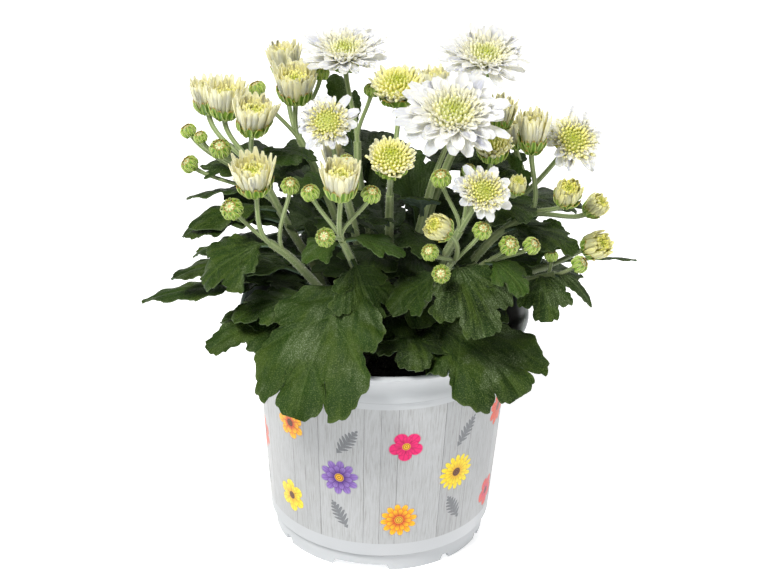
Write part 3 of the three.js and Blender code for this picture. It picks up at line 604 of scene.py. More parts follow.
def bud_finish():
    """Cream petal tips that show between the scales, round a brown-orange eye"""
    f = Finish("bud_cream", 0.45)
    upward, around = f.skin()
    stripe = (around * (16 * math.pi)).do("COSINE")
    cream = f.mix(stripe.rising(-0.3, 0.5), (0.28, 0.4, 0.08), (0.74, 0.74, 0.46))
    cream = f.mix(upward.rising(0.9, 0.98) * 0.85, cream, (0.5, 0.24, 0.05))
    fleck = f.noise(f.place(), 800).rising(0.5, 0.7)
    return f.done(f.mix(fleck * 0.25, cream, (0.6, 0.5, 0.2)))


def petal_finish(name, outer, inner, heart, root):
    """Petals from the outer rows to the heart, with a warm root that is partly the petals' own yellow base
    and partly painted warm shade, fine lengthwise grooves and a soft tip
    """
    f = Finish(name, 0.5, {
        "Subsurface Weight": 0.8, "Subsurface Radius": (1.0, 0.92, 0.6), "Subsurface Scale": 2.8 * MM,
        "Specular IOR Level": 0.35})
    along, across = f.skin()
    rank = f.own("rank")
    petal = f.ramp(rank, [(0, outer), (0.2, outer), (0.5, inner), (0.92, heart)])
    # Partly painted shade: the root colour spreads up the lower petal, for the yellow base and for warm shade
    # between the petals
    petal = f.mix(along.falling(0, 0.6) * 0.65, petal, root)
    near_heart = rank.rising(0.3, 0.5) * rank.falling(0.64, 0.92)
    petal = f.mix(along.rising(0.6, 0.95) * near_heart * 0.6, petal, inner)
    grooves = (across * 34).do("SINE")
    petal = f.mix(grooves.rising(0.2, 1) * 0.1, petal, root)
    petal = f.mix(f.own("tone") * 0.12, petal, inner)
    petal = f.mix(f.noise(f.place(), 260).rising(0.45, 0.75) * 0.1, petal, inner)
    f.bump(grooves, 0.08, 0.4)
    return f.done(petal)


def compost_finish():
    f = Finish("compost_dark", 0.92)
    place = f.place()
    f.bump(f.noise(place, 700, 4), 0.8, 0.9)
    browns = [(0.3, (0.008, 0.006, 0.005)), (0.55, (0.022, 0.015, 0.01)), (0.8, (0.06, 0.042, 0.028))]
    return f.done(f.ramp(f.noise(place, 420, 4), browns))


# The pot's print: a generic scatter of flowers and sprigs on whitewashed planks
CORAL = (0.72, 0.075, 0.025)
PINK = (0.74, 0.015, 0.15)
GOLD = (0.92, 0.5, 0.012)
LEMON = (0.84, 0.7, 0.02)
VIOLET = (0.11, 0.035, 0.27)
PLUM = (0.1, 0.02, 0.12)
LILAC = (0.28, 0.17, 0.5)
HEART_BROWN = (0.16, 0.05, 0.02)
HEART_GOLD = (0.85, 0.45, 0.03)
HEART_GREEN = (0.01, 0.16, 0.1)
# Rows of flowers: [height, degrees from the front to the first cell, flowers]
# Each flower: [radius, petals, rise, petal colour, tip colour, heart colour]
PRINTED_ROWS = [
    [28, -20, [
        [8.6, 12, 1, CORAL, GOLD, HEART_GOLD],
        [7.7, 5, -2, PINK, CORAL, HEART_BROWN],
        [8.8, 9, 1, CORAL, GOLD, HEART_GREEN],
        [7.9, 6, -1, VIOLET, LILAC, HEART_GREEN],
        [8.6, 14, 0, GOLD, LEMON, HEART_BROWN],
        [8.1, 6, 2, GOLD, LEMON, HEART_BROWN],
    ]],
    [49, -50, [
        [9, 10, 1, VIOLET, LILAC, HEART_GOLD],
        [9.2, 16, 0, GOLD, LEMON, HEART_BROWN],
        [7.4, 6, -2, PLUM, LILAC, HEART_GOLD],
        [7.9, 5, 2, PINK, PINK, HEART_GOLD],
        [8.6, 12, -1, LEMON, LEMON, HEART_BROWN],
        [7.9, 7, 1, CORAL, CORAL, HEART_BROWN],
    ]],
    [70, -18, [
        [7.7, 5, -1, PINK, PINK, HEART_GOLD],
        [8.6, 8, 0, CORAL, CORAL, HEART_BROWN],
        [7.4, 12, 1, LEMON, GOLD, HEART_BROWN],
        [8.1, 10, -1, VIOLET, LILAC, HEART_GREEN],
        [7.4, 5, 1, PINK, CORAL, HEART_BROWN],
        [7.9, 7, 0, CORAL, GOLD, HEART_BROWN],
    ]],
]
# Rows of sprigs: [height, degrees from the front to the first cell, half length, lean]
PRINTED_SPRIGS = [[30, -50, 8, 0.5], [70, -46, 8.5, -0.6]]
CELLS = 6


def in_cell(angle, height, at_height, from_degrees):
    """Which cell of a row a point lies in, as a share of the way round, and its place there"""
    cell = (angle / math.tau - from_degrees / 360).do("FRACT") * CELLS
    share = (cell.do("FLOOR") + 0.5) / CELLS
    return share, (cell.do("FRACT") - 0.5) * (math.tau * PRINT_RADIUS / CELLS), height - at_height


def petal_layer(f, under, out, way, petals, reach, petal, tip):
    """One round of painted petals: pale tips, dark clefts, streaks along them and a soft shadow"""
    wave = way * (petals / 2)
    lobe = abs(wave.do("COSINE")) ** 0.55
    past = out - (lobe * 0.4 + 0.6) * reach
    dark = f.shade(petal, (0.35, 0.3, 0.3))
    colour = f.mix(out.rising(0.35 * reach, 0.95 * reach), petal, tip)
    colour = f.mix(lobe.falling(0.15, 0.7) * 0.6, colour, dark)
    streak = (wave * 7).do("SINE") * out.rising(0.2, 0.5)
    colour = f.mix(streak.rising(0.2, 1) * 0.3, colour, dark)
    return f.mix(past.falling(-0.03, 0.03), f.mix(past.falling(0, 0.1) * 0.3, under, dark), colour)


def printed_flowers(f, under, angle, height, row):
    """A flower in each cell of a row: two rounds of petals about a speckled heart"""
    at_height, from_degrees, flowers = row
    share, x, up = in_cell(angle, height, at_height, from_degrees)

    def chosen(values):
        return f.ramp(share, [(i / CELLS, value) for i, value in enumerate(values)], "CONSTANT")

    shapes = [(r / 10, n / 20, 0.5 + lift / 20) for r, n, lift, *_ in flowers]
    radius, petals, rise = f.split(chosen(shapes))
    petal, tip, heart = (chosen([flower[k] for flower in flowers]) for k in (3, 4, 5))
    y = up - (rise - 0.5) * 20
    petals = (petals * 20).do("ROUND")
    out = (x * x + y * y).do("SQRT") / (radius * 10)
    way = y.do("ARCTAN2", x) + 0.4
    colour = petal_layer(f, under, out, way, petals, 1, petal, tip)
    inner_petal = f.shade(petal, (0.8, 0.8, 0.8))
    colour = petal_layer(f, colour, out, way + math.pi / petals, petals, 0.68, inner_petal, tip)
    speckle = (out * 60).do("SINE").rising(-0.2, 0.6)
    spot = f.mix(speckle, f.shade(heart, (0.45, 0.45, 0.45)), heart)
    return f.mix(out.falling(0.2, 0.27), colour, spot)


def printed_sprigs(f, under, angle, height, row):
    """A grey fern leaf in each cell of a row: pointed leaflets along a stalk"""
    at_height, from_degrees, half, lean = row
    _, across, up = in_cell(angle, height, at_height, from_degrees)
    c, s = math.cos(lean), math.sin(lean)
    x = abs(across * c + up * s)
    y = up * c - across * s
    share = y / half
    taper = 1 - share * share
    leaflet = abs(((y - x * 0.7) * 1.45).do("SINE"))
    inside = (x - leaflet ** 0.6 * taper * 3.6).falling(-0.15, 0.15) * taper.rising(0, 0.05)
    return f.mix(inside * 0.8, under, (0.12, 0.13, 0.145))


def pot_finish():
    """White satin plastic, with a printed band of planks and flowers round the outside of the wall"""
    f = Finish("pot_white", 0.34, {"Specular IOR Level": 0.22})
    place = f.place()
    x, y, z = f.split(place)
    angle = x.do("ARCTAN2", y * -1)
    height = z * 1000
    plank = angle * (PLANKS / math.tau) + (angle * 9).do("SINE") * 0.4
    board = plank.do("FLOOR")
    grain = f.noise(f.vector(angle * PRINT_RADIUS, height * 0.05, board), 2.2, 5, 0.65)
    wood = f.ramp(grain, [
        (0.3, (0.3, 0.3, 0.295)),
        (0.46, (0.42, 0.43, 0.44)),
        (0.6, (0.47, 0.485, 0.5)),
        (0.76, (0.36, 0.365, 0.37)),
    ])
    board_tone = f.noise(f.vector(board, 0.5, 0.5), 3.7, 0)
    wood = f.shade(wood, f.ramp(board_tone, [(0.3, (0.86, 0.86, 0.86)), (0.7, (1, 1, 1))]))
    fine = f.noise(f.vector(angle * 420, height * 0.12, 0), 1, 3)
    wood = f.mix(fine.rising(0.54, 0.68) * 0.4, wood, (0.24, 0.23, 0.22))
    seam_width = f.noise(f.vector(board, height * 0.06, 0), 1.3) * 0.07 + 0.01
    wood = f.mix(plank.do("FRACT").falling(0, seam_width) * 0.9, wood, (0.12, 0.12, 0.115))
    for row in PRINTED_SPRIGS:
        wood = printed_sprigs(f, wood, angle, height, row)
    for row in PRINTED_ROWS:
        wood = printed_flowers(f, wood, angle, height, row)
    plastic = f.mix(f.noise(place, 30).rising(0.3, 0.7), (0.46, 0.48, 0.5), (0.49, 0.505, 0.525))
    # Painted shade: thin dark lines in the steps at the foot and under the collar
    for at in SHADED_STEPS:
        plastic = f.mix(abs(height - at).rising(0.15, 0.5), (0.22, 0.23, 0.24), plastic)
    inside = f.own("inside")
    # The inside of the wall is coloured nearly black below the lip
    dark_below_lip = inside * height.falling(105.5, 108.6)
    plastic = f.mix(dark_below_lip * 0.97, plastic, (0.015, 0.013, 0.012))
    above = height.rising(PRINT_BOTTOM - PRINT_EDGE, PRINT_BOTTOM + PRINT_EDGE)
    band = above * height.falling(PRINT_TOP - PRINT_EDGE, PRINT_TOP + PRINT_EDGE)
    f.bump(f.noise(place, 900), 0.04, 0.3)
    return f.done(f.mix((1 - inside) * band, plastic, wood))


LEAF = leaf_finish()
STEM = stem_finish()
DOWN = hair_finish()
BRACT_SKIN = bract_finish()
BUD_SKIN = bud_finish()
# The last colour of each is the root, partly painted warm shade at the petals' bases
WHITE_PETAL = petal_finish(
    "petal_white", (0.97, 0.97, 0.94), (0.94, 0.9, 0.58), (0.42, 0.5, 0.03), (0.94, 0.91, 0.62))
CREAM_PETAL = petal_finish(
    "petal_cream", (0.96, 0.91, 0.5), (0.94, 0.87, 0.34), (0.34, 0.44, 0.015), (0.84, 0.74, 0.1))
YELLOW_PETAL = petal_finish(
    "petal_yellow", (0.93, 0.88, 0.32), (0.88, 0.8, 0.18), (0.34, 0.44, 0.015), (0.7, 0.66, 0.05))
COMPOST = compost_finish()
POT_PLASTIC = pot_finish()


# Growth rules
class Growth(Steps):
    """A Geometry Nodes tree, whose inputs are a geometry and the numbers named here"""

    def __init__(self, name, **kinds):
        self.tree = bpy.data.node_groups.new(name, "GeometryNodeTree")
        for label, kind in {"geometry": "Geometry", **kinds}.items():
            self.tree.interface.new_socket(label, in_out="INPUT", socket_type=f"NodeSocket{kind}")
        self.tree.interface.new_socket("geometry", in_out="OUTPUT", socket_type="NodeSocketGeometry")
        given = self.tree.nodes.new("NodeGroupInput").outputs
        self.given = [Number(self, given[i]) for i in range(len(kinds) + 1)]
        self.result = self.tree.nodes.new("NodeGroupOutput").inputs[0]

    def chance(self, spread, seed):
        """A draw from minus spread to plus spread for each copy"""
        inputs = {"Min": self.math("MULTIPLY", spread, -1), "Max": spread, "Seed": seed}
        return self.step("FunctionNodeRandomValue", inputs, "Value", data_type="FLOAT")

    def points(self, count, angle, radius, height):
        position = self.vector(angle.do("COSINE") * radius, angle.do("SINE") * radius, height)
        return self.step("GeometryNodePoints", {"Count": count, "Position": position})

    def scattered(self, surface, density, seed):
        """Points strewn over faces, and the turn of the face at each"""
        inputs = {"Mesh": surface, "Density": density, "Seed": seed}
        made = self.node("GeometryNodeDistributePointsOnFaces", inputs)
        return [Number(self, made.outputs[name]) for name in ("Points", "Rotation")]

    def copies(self, points, one, turn, size=(1, 1, 1)):
        return self.step("GeometryNodeInstanceOnPoints", {
            "Points": points, "Instance": one, "Rotation": turn, "Scale": size})

    def marked(self, geometry, name, value, domain="INSTANCE"):
        inputs = {"Geometry": geometry, "Name": name, "Value": value}
        return self.step("GeometryNodeStoreNamedAttribute", inputs, data_type="FLOAT", domain=domain)

    def petals(self, copies, rank, seed, finish):
        copies = self.marked(copies, "rank", rank)
        return self.finish(self.marked(copies, "tone", self.chance(0.5, seed) + 0.5), finish)

    def finish(self, geometry, material):
        real = self.step("GeometryNodeRealizeInstances", {"Geometry": geometry})
        self.put(self.result, self.step("GeometryNodeSetMaterial", {"Geometry": real, "Material": material}))
        return self.tree


def ring_growth():
    """Copies of one petal or scale round a ring, each leaning, turned and sized a little by chance"""
    g = Growth("Petal ring", count="Int", radius="Float", height="Float", lean="Float", turn="Float",
               uneven="Float", rank="Float", seed="Int", finish="Material")
    petal, count, radius, height, lean, turn, uneven, rank, seed, finish = g.given
    step = math.tau / count
    sway = g.chance(uneven * 0.9, seed) * step
    angle = (g.step("GeometryNodeInputIndex") + turn) * step + sway
    lean = lean + g.chance(uneven * 0.45, seed + 1)
    twist = g.chance(uneven * 0.7, seed + 2)
    size = g.chance(uneven * 0.4, seed + 3) + 1
    points = g.points(count, angle, radius, height)
    copies = g.copies(points, petal, g.vector(twist, lean * -1, angle), g.vector(size, 1, 1))
    return g.petals(copies, rank, seed + 4, finish)


def heart_growth():
    """Quilled florets packed on a dome by the golden angle, upright in the middle"""
    g = Growth("Floret dome", count="Int", radius="Float", height="Float", rise="Float", edge_lean="Float",
               rank="Float", seed="Int", finish="Material")
    floret, count, radius, height, rise, edge_lean, rank, seed, finish = g.given
    index = g.step("GeometryNodeInputIndex")
    share = (index + 0.5) / count
    out = share.do("SQRT")
    angle = index * GOLDEN_ANGLE
    fall = (math.pi / 2 - edge_lean) * out ** 1.4
    lean = math.pi / 2 - fall + g.chance(0.14, seed)
    size = (out * 0.62 + 0.48) * (g.chance(0.14, seed + 1) + 1)
    turned = angle + g.chance(0.3, seed + 2)
    points = g.points(count, angle, out * radius, height - share * rise)
    copies = g.copies(points, floret, g.vector(0, lean * -1, turned), g.vector(size, size, size))
    return g.petals(copies, rank + (1 - out) * (1 - rank), seed + 3, finish)


def rib_growth():
    """A ribbed tube along each line, as thick as the line's own radius says"""
    g = Growth("Ribbed stem", ribs="Int", depth="Float", finish="Material")
    line, ribs, depth, finish = g.given
    wave = (g.step("GeometryNodeSplineParameter", output="Factor") * math.tau * ribs).do("COSINE")
    section = g.step("GeometryNodeCurvePrimitiveCircle", {"Resolution": 20, "Radius": 1})
    position = g.step("GeometryNodeInputPosition")
    swollen = g.step("ShaderNodeVectorMath", {0: position, 3: wave * depth + 1}, operation="SCALE")
    section = g.step("GeometryNodeSetPosition", {"Geometry": section, "Position": swollen})
    section = g.marked(section, "ridge", wave * 0.5 + 0.5, "POINT")
    return g.finish(g.step("GeometryNodeCurveToMesh", {
        "Curve": line, "Profile Curve": section, "Fill Caps": True,
        "Scale": g.step("GeometryNodeInputRadius")}), finish)


def down_growth():
    """Short soft hairs standing on a surface"""
    g = Growth("Stem down", density="Float", length="Float", seed="Int", finish="Material")
    surface, density, length, seed, finish = g.given
    points, facing = g.scattered(surface, density, seed)
    hair = g.step("GeometryNodeMeshCone", {
        "Vertices": 3, "Radius Top": 0.012, "Radius Bottom": 0.07, "Depth": length}, "Mesh")
    tilt = g.vector(g.chance(0.5, seed), g.chance(0.5, seed + 1), 0)
    inputs = {"Rotation": facing, "Rotate By": tilt}
    turned = g.step("FunctionNodeRotateRotation", inputs, rotation_space="LOCAL")
    return g.finish(g.copies(points, hair, turned), finish)


def crumb_growth():
    """Crumbs and chips of compost lying on its surface"""
    g = Growth("Compost crumbs", density="Float", size="Float", seed="Int", finish="Material")
    surface, density, size, seed, finish = g.given
    points, _ = g.scattered(surface, density, seed)
    crumb = g.step("GeometryNodeMeshIcoSphere", {"Radius": size, "Subdivisions": 1}, "Mesh")
    sizes = [g.chance(spread, seed + (i + 1)) + 1 for i, spread in enumerate((0.7, 0.5, 0.35))]
    turn = g.vector(*(g.chance(3.1, seed + (i + 5)) for i in range(3)))
    return g.finish(g.copies(points, crumb, turn, g.vector(*sizes)), finish)


RING = ring_growth()
HEART = heart_growth()
RIBBED = rib_growth()
STEM_DOWN = down_growth()
CRUMBS = crumb_growth()


def grown(tree, source, *values):
    """Runs a growth rule with its values on a mesh or curve, and hands back a plain mesh"""
    holder = added("growing", source)
    modifier = holder.modifiers.new("growth", "NODES")
    modifier.node_group = tree
    inputs = [socket for socket in tree.interface.items_tree if socket.in_out == "INPUT"]
    for socket, value in zip(inputs[1:], values, strict=True):
        modifier[socket.identifier] = float(value) if socket.socket_type == "NodeSocketFloat" else value
    depsgraph = bpy.context.evaluated_depsgraph_get()
    mesh = bpy.data.meshes.new_from_object(
        holder.evaluated_get(depsgraph), preserve_all_data_layers=True, depsgraph=depsgraph)
    bpy.data.objects.remove(holder)
    return mesh


# Meshes
def points_of(mesh):
    points = np.empty(len(mesh.vertices) * 3)
    mesh.vertices.foreach_get("co", points)
    return points.reshape(-1, 3)


def set_points(mesh, points):
    mesh.vertices.foreach_set("co", points.ravel())


def sheet_mesh(top, bottom, marks=None, skin=None):
    """A closed thin sheet between two grids of points, with numbers on its points and a skin map"""
    count = top.shape[0] * top.shape[1]
    grid = np.arange(count).reshape(top.shape[:2])
    quads = np.stack([grid[:-1, :-1], grid[1:, :-1], grid[1:, 1:], grid[:-1, 1:]], -1).reshape(-1, 4)
    rim = np.concatenate([grid[0, :-1], grid[:-1, -1], grid[-1, :0:-1], grid[:0:-1, 0]])
    following = np.roll(rim, -1)
    walls = np.stack([rim, following, following + count, rim + count], -1)
    faces = np.concatenate([quads, quads[:, ::-1] + count, walls])
    points = np.concatenate([top.reshape(-1, 3), bottom.reshape(-1, 3)])
    mesh = solid_mesh(points.tolist(), faces.tolist())
    for name, values in (marks or {}).items():
        mark(mesh, name, values)
    if skin is not None:
        add_skin(mesh, np.concatenate([skin.reshape(-1, 2)] * 2))
    return mesh


def solid_mesh(points, faces):
    mesh = bpy.data.meshes.new("solid")
    mesh.from_pydata(points, [], faces)
    outward(mesh)
    return mesh


def outward(mesh):
    """Turns every face to look outwards"""
    work = bmesh.new()
    work.from_mesh(mesh)
    bmesh.ops.recalc_face_normals(work, faces=work.faces)
    work.to_mesh(mesh)
    work.free()


def mark(mesh, name, values):
    layer = mesh.attributes.new(name, "FLOAT", "POINT")
    layer.data.foreach_set("value", np.broadcast_to(values, len(mesh.vertices)).astype(np.float32))


def add_skin(mesh, coordinates):
    corners = np.empty(len(mesh.loops), np.int32)
    mesh.loops.foreach_get("vertex_index", corners)
    layer = mesh.uv_layers.new(name="skin")
    layer.uv.foreach_set("vector", coordinates[corners].astype(np.float32).ravel())


def turned_mesh(profile, sides, material=None):
    """A profile of [radius, height] turned round the upright axis, with a skin map along and round"""
    points, skin, rings = [], [], []
    for i, (radius, height) in enumerate(profile):
        count = sides if radius else 1
        rings.append([len(points) + k for k in range(count)])
        for k in range(count):
            angle = math.tau * k / sides
            points.append((radius * math.cos(angle), radius * math.sin(angle), height))
            skin.append((i / (len(profile) - 1), k / sides))
    faces = []
    for lower, upper in zip(rings, rings[1:]):
        for k in range(sides):
            below = [lower[n % len(lower)] for n in (k, k + 1)]
            above = [upper[n % len(upper)] for n in (k + 1, k)]
            faces.append(tuple(dict.fromkeys(below + above)))
    mesh = solid_mesh(points, faces)
    add_skin(mesh, np.array(skin))
    if material:
        mesh.materials.append(material)
    return mesh


def placed(mesh, base, axis):
    """Moves a mesh from its own frame to its base, with its axis turned to point the given way"""
    turn = UP.rotation_difference(Vector(axis)).to_matrix().to_4x4()
    mesh.transform(Matrix.Translation(Vector(base)) @ turn)
    return mesh


def piece(name, meshes, node, smooth_angle=50):
    """Joins meshes into one piece of the object, scaled to metres, riding on the root body"""
    objects = [added(name, mesh) for mesh in meshes]
    whole = objects[0]
    if len(objects) > 1:
        with bpy.context.temp_override(active_object=whole, object=whole, selected_objects=objects,
                                       selected_editable_objects=objects):
            bpy.ops.object.join()
    whole.data.transform(Matrix.Scale(MM, 4))
    whole.data.shade_smooth()
    whole.data.set_sharp_from_angle(angle=math.radians(smooth_angle))
    whole.name = name
    whole.data.name = name
    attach(whole, "root")
    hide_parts(node)


# Stem paths, as the solids have them
class StemPath:
    """A centripetal spline from just above the hole's bottom through the path's points"""

    def __init__(self, path):
        x, y = path[0]
        points = [[x, y, HOLE_BOTTOM + GAP], [x, y, SOIL_TOP + 1], *path[1:]]
        self.points = [Vector(p) for p in points]
        self.places = len(path)

    def share(self, place):
        return (place + 1) / self.places

    def at(self, share):
        p = self.points
        last = len(p) - 1
        i = min(int(share * last), last - 1)
        w = share * last - i
        p0 = p[i - 1] if i > 0 else 2 * p[0] - p[1]
        p1, p2 = p[i], p[i + 1]
        p3 = p[i + 2] if i + 2 <= last else 2 * p[last] - p[last - 1]
        d0, d1, d2 = ((a - b).length ** 0.5 for a, b in ((p1, p0), (p2, p1), (p3, p2)))
        t1 = ((p1 - p0) / d0 - (p2 - p0) / (d0 + d1) + (p2 - p1) / d1) * d1
        t2 = ((p2 - p1) / d1 - (p3 - p1) / (d1 + d2) + (p3 - p2) / d2) * d1
        c2 = -3 * p1 + 3 * p2 - 2 * t1 - t2
        c3 = 2 * p1 - 2 * p2 + t1 + t2
        return p1 + t1 * w + c2 * w ** 2 + c3 * w ** 3

    def along(self, share):
        step = 1e-4
        low, high = max(share - step, 0), min(share + step, 1)
        return (self.at(high) - self.at(low)).normalized()


def stalk_points(path, share, base, axis, sink, steps=12):
    """A bent stalk from its place on the stem to its head's base, which it meets along the head's axis"""
    start = path.at(share)
    axis = Vector(axis).normalized()
    end = Vector(base) + axis * sink
    reach = (start - end).length / 3
    first = start + path.along(share) * reach
    second = end - axis * reach
    made = []
    for i in range(steps + 1):
        t = i / steps
        made.append(start * (1 - t) ** 3 + first * 3 * t * (1 - t) ** 2
                    + second * 3 * t ** 2 * (1 - t) + end * t ** 3)
    return made


def add_line(curve, points, radii):
    line = curve.splines.new("POLY")
    line.points.add(len(points) - 1)
    for spot, point, radius in zip(line.points, points, radii):
        spot.co = (*point, 1)
        spot.radius = radius


def stem_lines(name, path, heads):
    """The stem's and its stalks' centre lines: the stem tapers, and a stalk widens under its head"""
    curve = bpy.data.curves.new(name, "CURVE")
    curve.dimensions = "3D"
    steps = 26
    points = [path.at(i / steps) for i in range(steps + 1)]
    add_line(curve, points, [STEM_RADIUS * (1.06 - 0.18 * i / steps) for i in range(steps + 1)])
    for _, kind, place, base, axis, size, *_ in heads:
        sink, radius = (-0.5 * size, BUD_STALK_RADIUS) if kind == "bud" else (0.2, STALK_RADIUS)
        points = stalk_points(path, path.share(place), base, axis, sink)
        last = len(points) - 1
        widths = [1.12 - 0.2 * i / last + 0.35 * (i / last) ** 6 for i in range(last + 1)]
        add_line(curve, points, [radius * width for width in widths])
    return curve


# Leaves
def fine_outline(form, length, half_width, inner):
    """A leaf's half outline with rounded teeth, the places on the midrib its points are ruled from, and its
    main veins, all in millimetres. An inner leaf has fewer steps between its points."""
    outline, _, veins = FORMS[form]
    points = np.array([*outline, [1, 0, 1]], float)
    steps = 5 if half_width > 17 else 4 if half_width > 11 else 3
    steps += form not in ("lobed", "broad")
    if inner:
        steps = max(2, steps - 2)
    padded = np.vstack([2 * points[0] - points[1], points, 2 * points[-1] - points[-2]])
    made = []
    for i in range(len(points) - 1):
        p0, p1, p2, p3 = padded[i:i + 4]
        for k in range(steps):
            t = k / steps
            made.append(0.5 * (2 * p1 + (p2 - p0) * t + (2 * p0 - 5 * p1 + 4 * p2 - p3) * t ** 2
                               + (3 * p1 - p0 - 3 * p2 + p3) * t ** 3))
    made = np.array([*made, points[-1]])
    flat = made[:, :2] * (length, half_width)
    way = np.gradient(flat, axis=0)
    way /= np.maximum(np.linalg.norm(way, axis=1, keepdims=True), 1e-6)
    out = np.stack([-way[:, 1], way[:, 0]], -1)
    travelled = np.concatenate([[0], np.cumsum(np.linalg.norm(np.diff(flat, axis=0), axis=1))])
    phase = (travelled / (2.6 + half_width * 0.1)) % 1
    tooth = np.where(phase < 0.72, phase / 0.72, (1 - phase) / 0.28) ** 0.8
    sharp = 1 if form == "broad" else 1.5
    fading = np.clip((travelled[-1] - travelled) / 3, 0, 1)
    reach = sharp * (0.4 + 0.032 * half_width) * np.clip(travelled / 8, 0, 1) * fading
    flat += out * (tooth * reach)[:, None]
    flat[:, 1] = np.maximum(flat[:, 1], 0.12)
    roots = np.clip(made[:, 2], 0, 0.995)
    return flat, roots * length, [points[k] * (length, half_width, length) for k in veins]


def distance_to_line(points, start, end):
    line = end - start
    share = np.clip(((points - start) @ line) / (line @ line), 0, 1)
    return np.linalg.norm(points - start - share[..., None] * line, axis=-1)


def leaf_mesh(root, tone, inner, tip, lift, width, roll=0, form="lobed"):
    """A lobed, toothed blade on a petiole, ruled from the midrib to the edge along the veins, cupped, waved
    and quilted. An inner leaf has fewer rows across."""
    petiole = FORMS[form][1]
    end = Vector(tip)
    middle = (root + end) / 2 + UP * 2 * lift
    bow = [np.array(v) for v in (root, middle, end)]
    half_width = width / 2
    length = (end - root).length * (1 - petiole)
    outline, roots, veins = fine_outline(form, length, half_width, inner)
    shares = np.array([0, 0.16, 0.45, 0.75, 1] if inner else [0, 0.08, 0.24, 0.42, 0.6, 0.78, 0.92, 1])
    across = np.concatenate([-shares[:0:-1], shares])
    side = np.abs(across)
    start = -length * petiole / (1 - petiole)
    stalk_a = np.linspace(start, 0, PETIOLE_ROWS, endpoint=False)[:, None] + 0 * across
    stalk_b = PETIOLE_HALF_WIDTH * across[None, :] + 0 * stalk_a
    a = np.vstack([stalk_a, roots[:, None] * (1 - side) + outline[:, :1] * side])
    b = np.vstack([stalk_b, outline[:, 1:] * across])
    s = np.clip(petiole + (1 - petiole) * a / length, 0, 1)
    w = s[..., None]
    point = (1 - w) ** 2 * bow[0] + 2 * w * (1 - w) * bow[1] + w ** 2 * bow[2]
    along = 2 * (1 - w) * (bow[1] - bow[0]) + 2 * w * (bow[2] - bow[1])
    along /= np.linalg.norm(along, axis=-1, keepdims=True)
    flat = np.cross(along, np.array(UP))
    flat /= np.linalg.norm(flat, axis=-1, keepdims=True)
    turn = math.radians(roll)
    sideways = flat * math.cos(turn) + np.cross(flat, along) * math.sin(turn)
    normal = np.cross(sideways, along)
    share = b / half_width
    rise = -CUP * half_width * share ** 2 + WAVE * half_width * np.sin(9 * s + 2 * share)
    mirrored = np.stack([a, np.abs(b)], -1)
    vein = np.abs(b)
    for tip_a, tip_b, root_a in veins:
        to_vein = distance_to_line(mirrored, np.array([root_a, 0]), np.array([tip_a, tip_b]) * 0.94)
        vein = np.minimum(vein, to_vein)
    on_blade = np.clip(a / (0.1 * length), 0, 1)
    quilt = 0.055 * half_width * np.tanh(vein / (0.12 * half_width + 0.6)) * on_blade
    ruffle = 0.06 * half_width * side ** 3 * np.sin(a * 0.55 + 2.4 * tone + np.sign(b)) * on_blade
    point = point + sideways * b[..., None] + normal * (rise + quilt + ruffle)[..., None]
    stalk = 1 - np.clip((a - start) / (-start + 0.25 * length), 0, 1)
    half = LEAF_HALF_THICKNESS + (PETIOLE_HALF_THICKNESS - LEAF_HALF_THICKNESS) * stalk ** 0.7
    midrib = 0.5 * np.exp(-(b / 0.9) ** 2) * (1 - np.clip(a / length, 0, 1)) * on_blade
    fan = np.arctan2(b, np.maximum(a, 0) + 0.1 * length)
    marks = {"vein_mm": vein, "edge": (side + 0 * a) * (a > 0), "fan": fan, "far": np.hypot(a, b)}
    marks = {name: np.concatenate([values.ravel()] * 2) for name, values in marks.items()}
    marks["face_up"] = np.concatenate([np.ones(a.size), np.zeros(a.size)])
    marks["tone"] = tone
    marks["young"] = (0.75 if width <= NEW_LEAF_WIDTH else 0.25) * (form == "trifid")
    mesh = sheet_mesh(point + normal * half[..., None], point - normal * (half + midrib)[..., None], marks)
    mesh.materials.append(LEAF)
    return mesh


# Petals and scales
def petal_mesh(length, half_width, curl, cup, waist=0.35, round_from=0.7, thick=0.22, rows=6, columns=4):
    """A petal along +X that curls upwards, widest before its round tip, with edges raised by cup"""
    s = np.linspace(0, 1, rows + 1) ** 0.9
    heading = curl * s ** 1.2
    step = np.diff(s, prepend=0) * length
    x = np.cumsum(np.cos(heading) * step)
    z = np.cumsum(np.sin(heading) * step)
    widening = waist + (1 - waist) * np.sin(np.clip(s / round_from, 0, 1) * math.pi / 2) ** 1.4
    closing = np.sqrt(np.clip(1 - np.clip((s - round_from) / (1.03 - round_from), 0, 1) ** 2.2, 0.02, 1))
    width = half_width * widening * closing
    v = np.linspace(-1, 1, columns + 1)
    lift = cup * (v ** 2)[None, :] * width[:, None]
    up_x, up_z = -np.sin(heading), np.cos(heading)
    middle = np.stack([
        x[:, None] + up_x[:, None] * lift,
        width[:, None] * v[None, :],
        z[:, None] + up_z[:, None] * lift,
    ], -1)
    normal = np.stack([up_x, 0 * up_x, up_z], -1)[:, None, :] * (thick / 2)
    skin = np.stack(np.broadcast_arrays(s[:, None], v / 2 + 0.5), -1)
    return sheet_mesh(middle + normal, middle - normal, skin=skin)


def ring(count, radius, height, lean, petal, finish, rank, seed, turn=0, uneven=0.2):
    """One ring of petals or scales, with its lean in degrees"""
    return grown(RING, petal, count, radius, height, math.radians(lean), turn, uneven, rank, seed, finish)


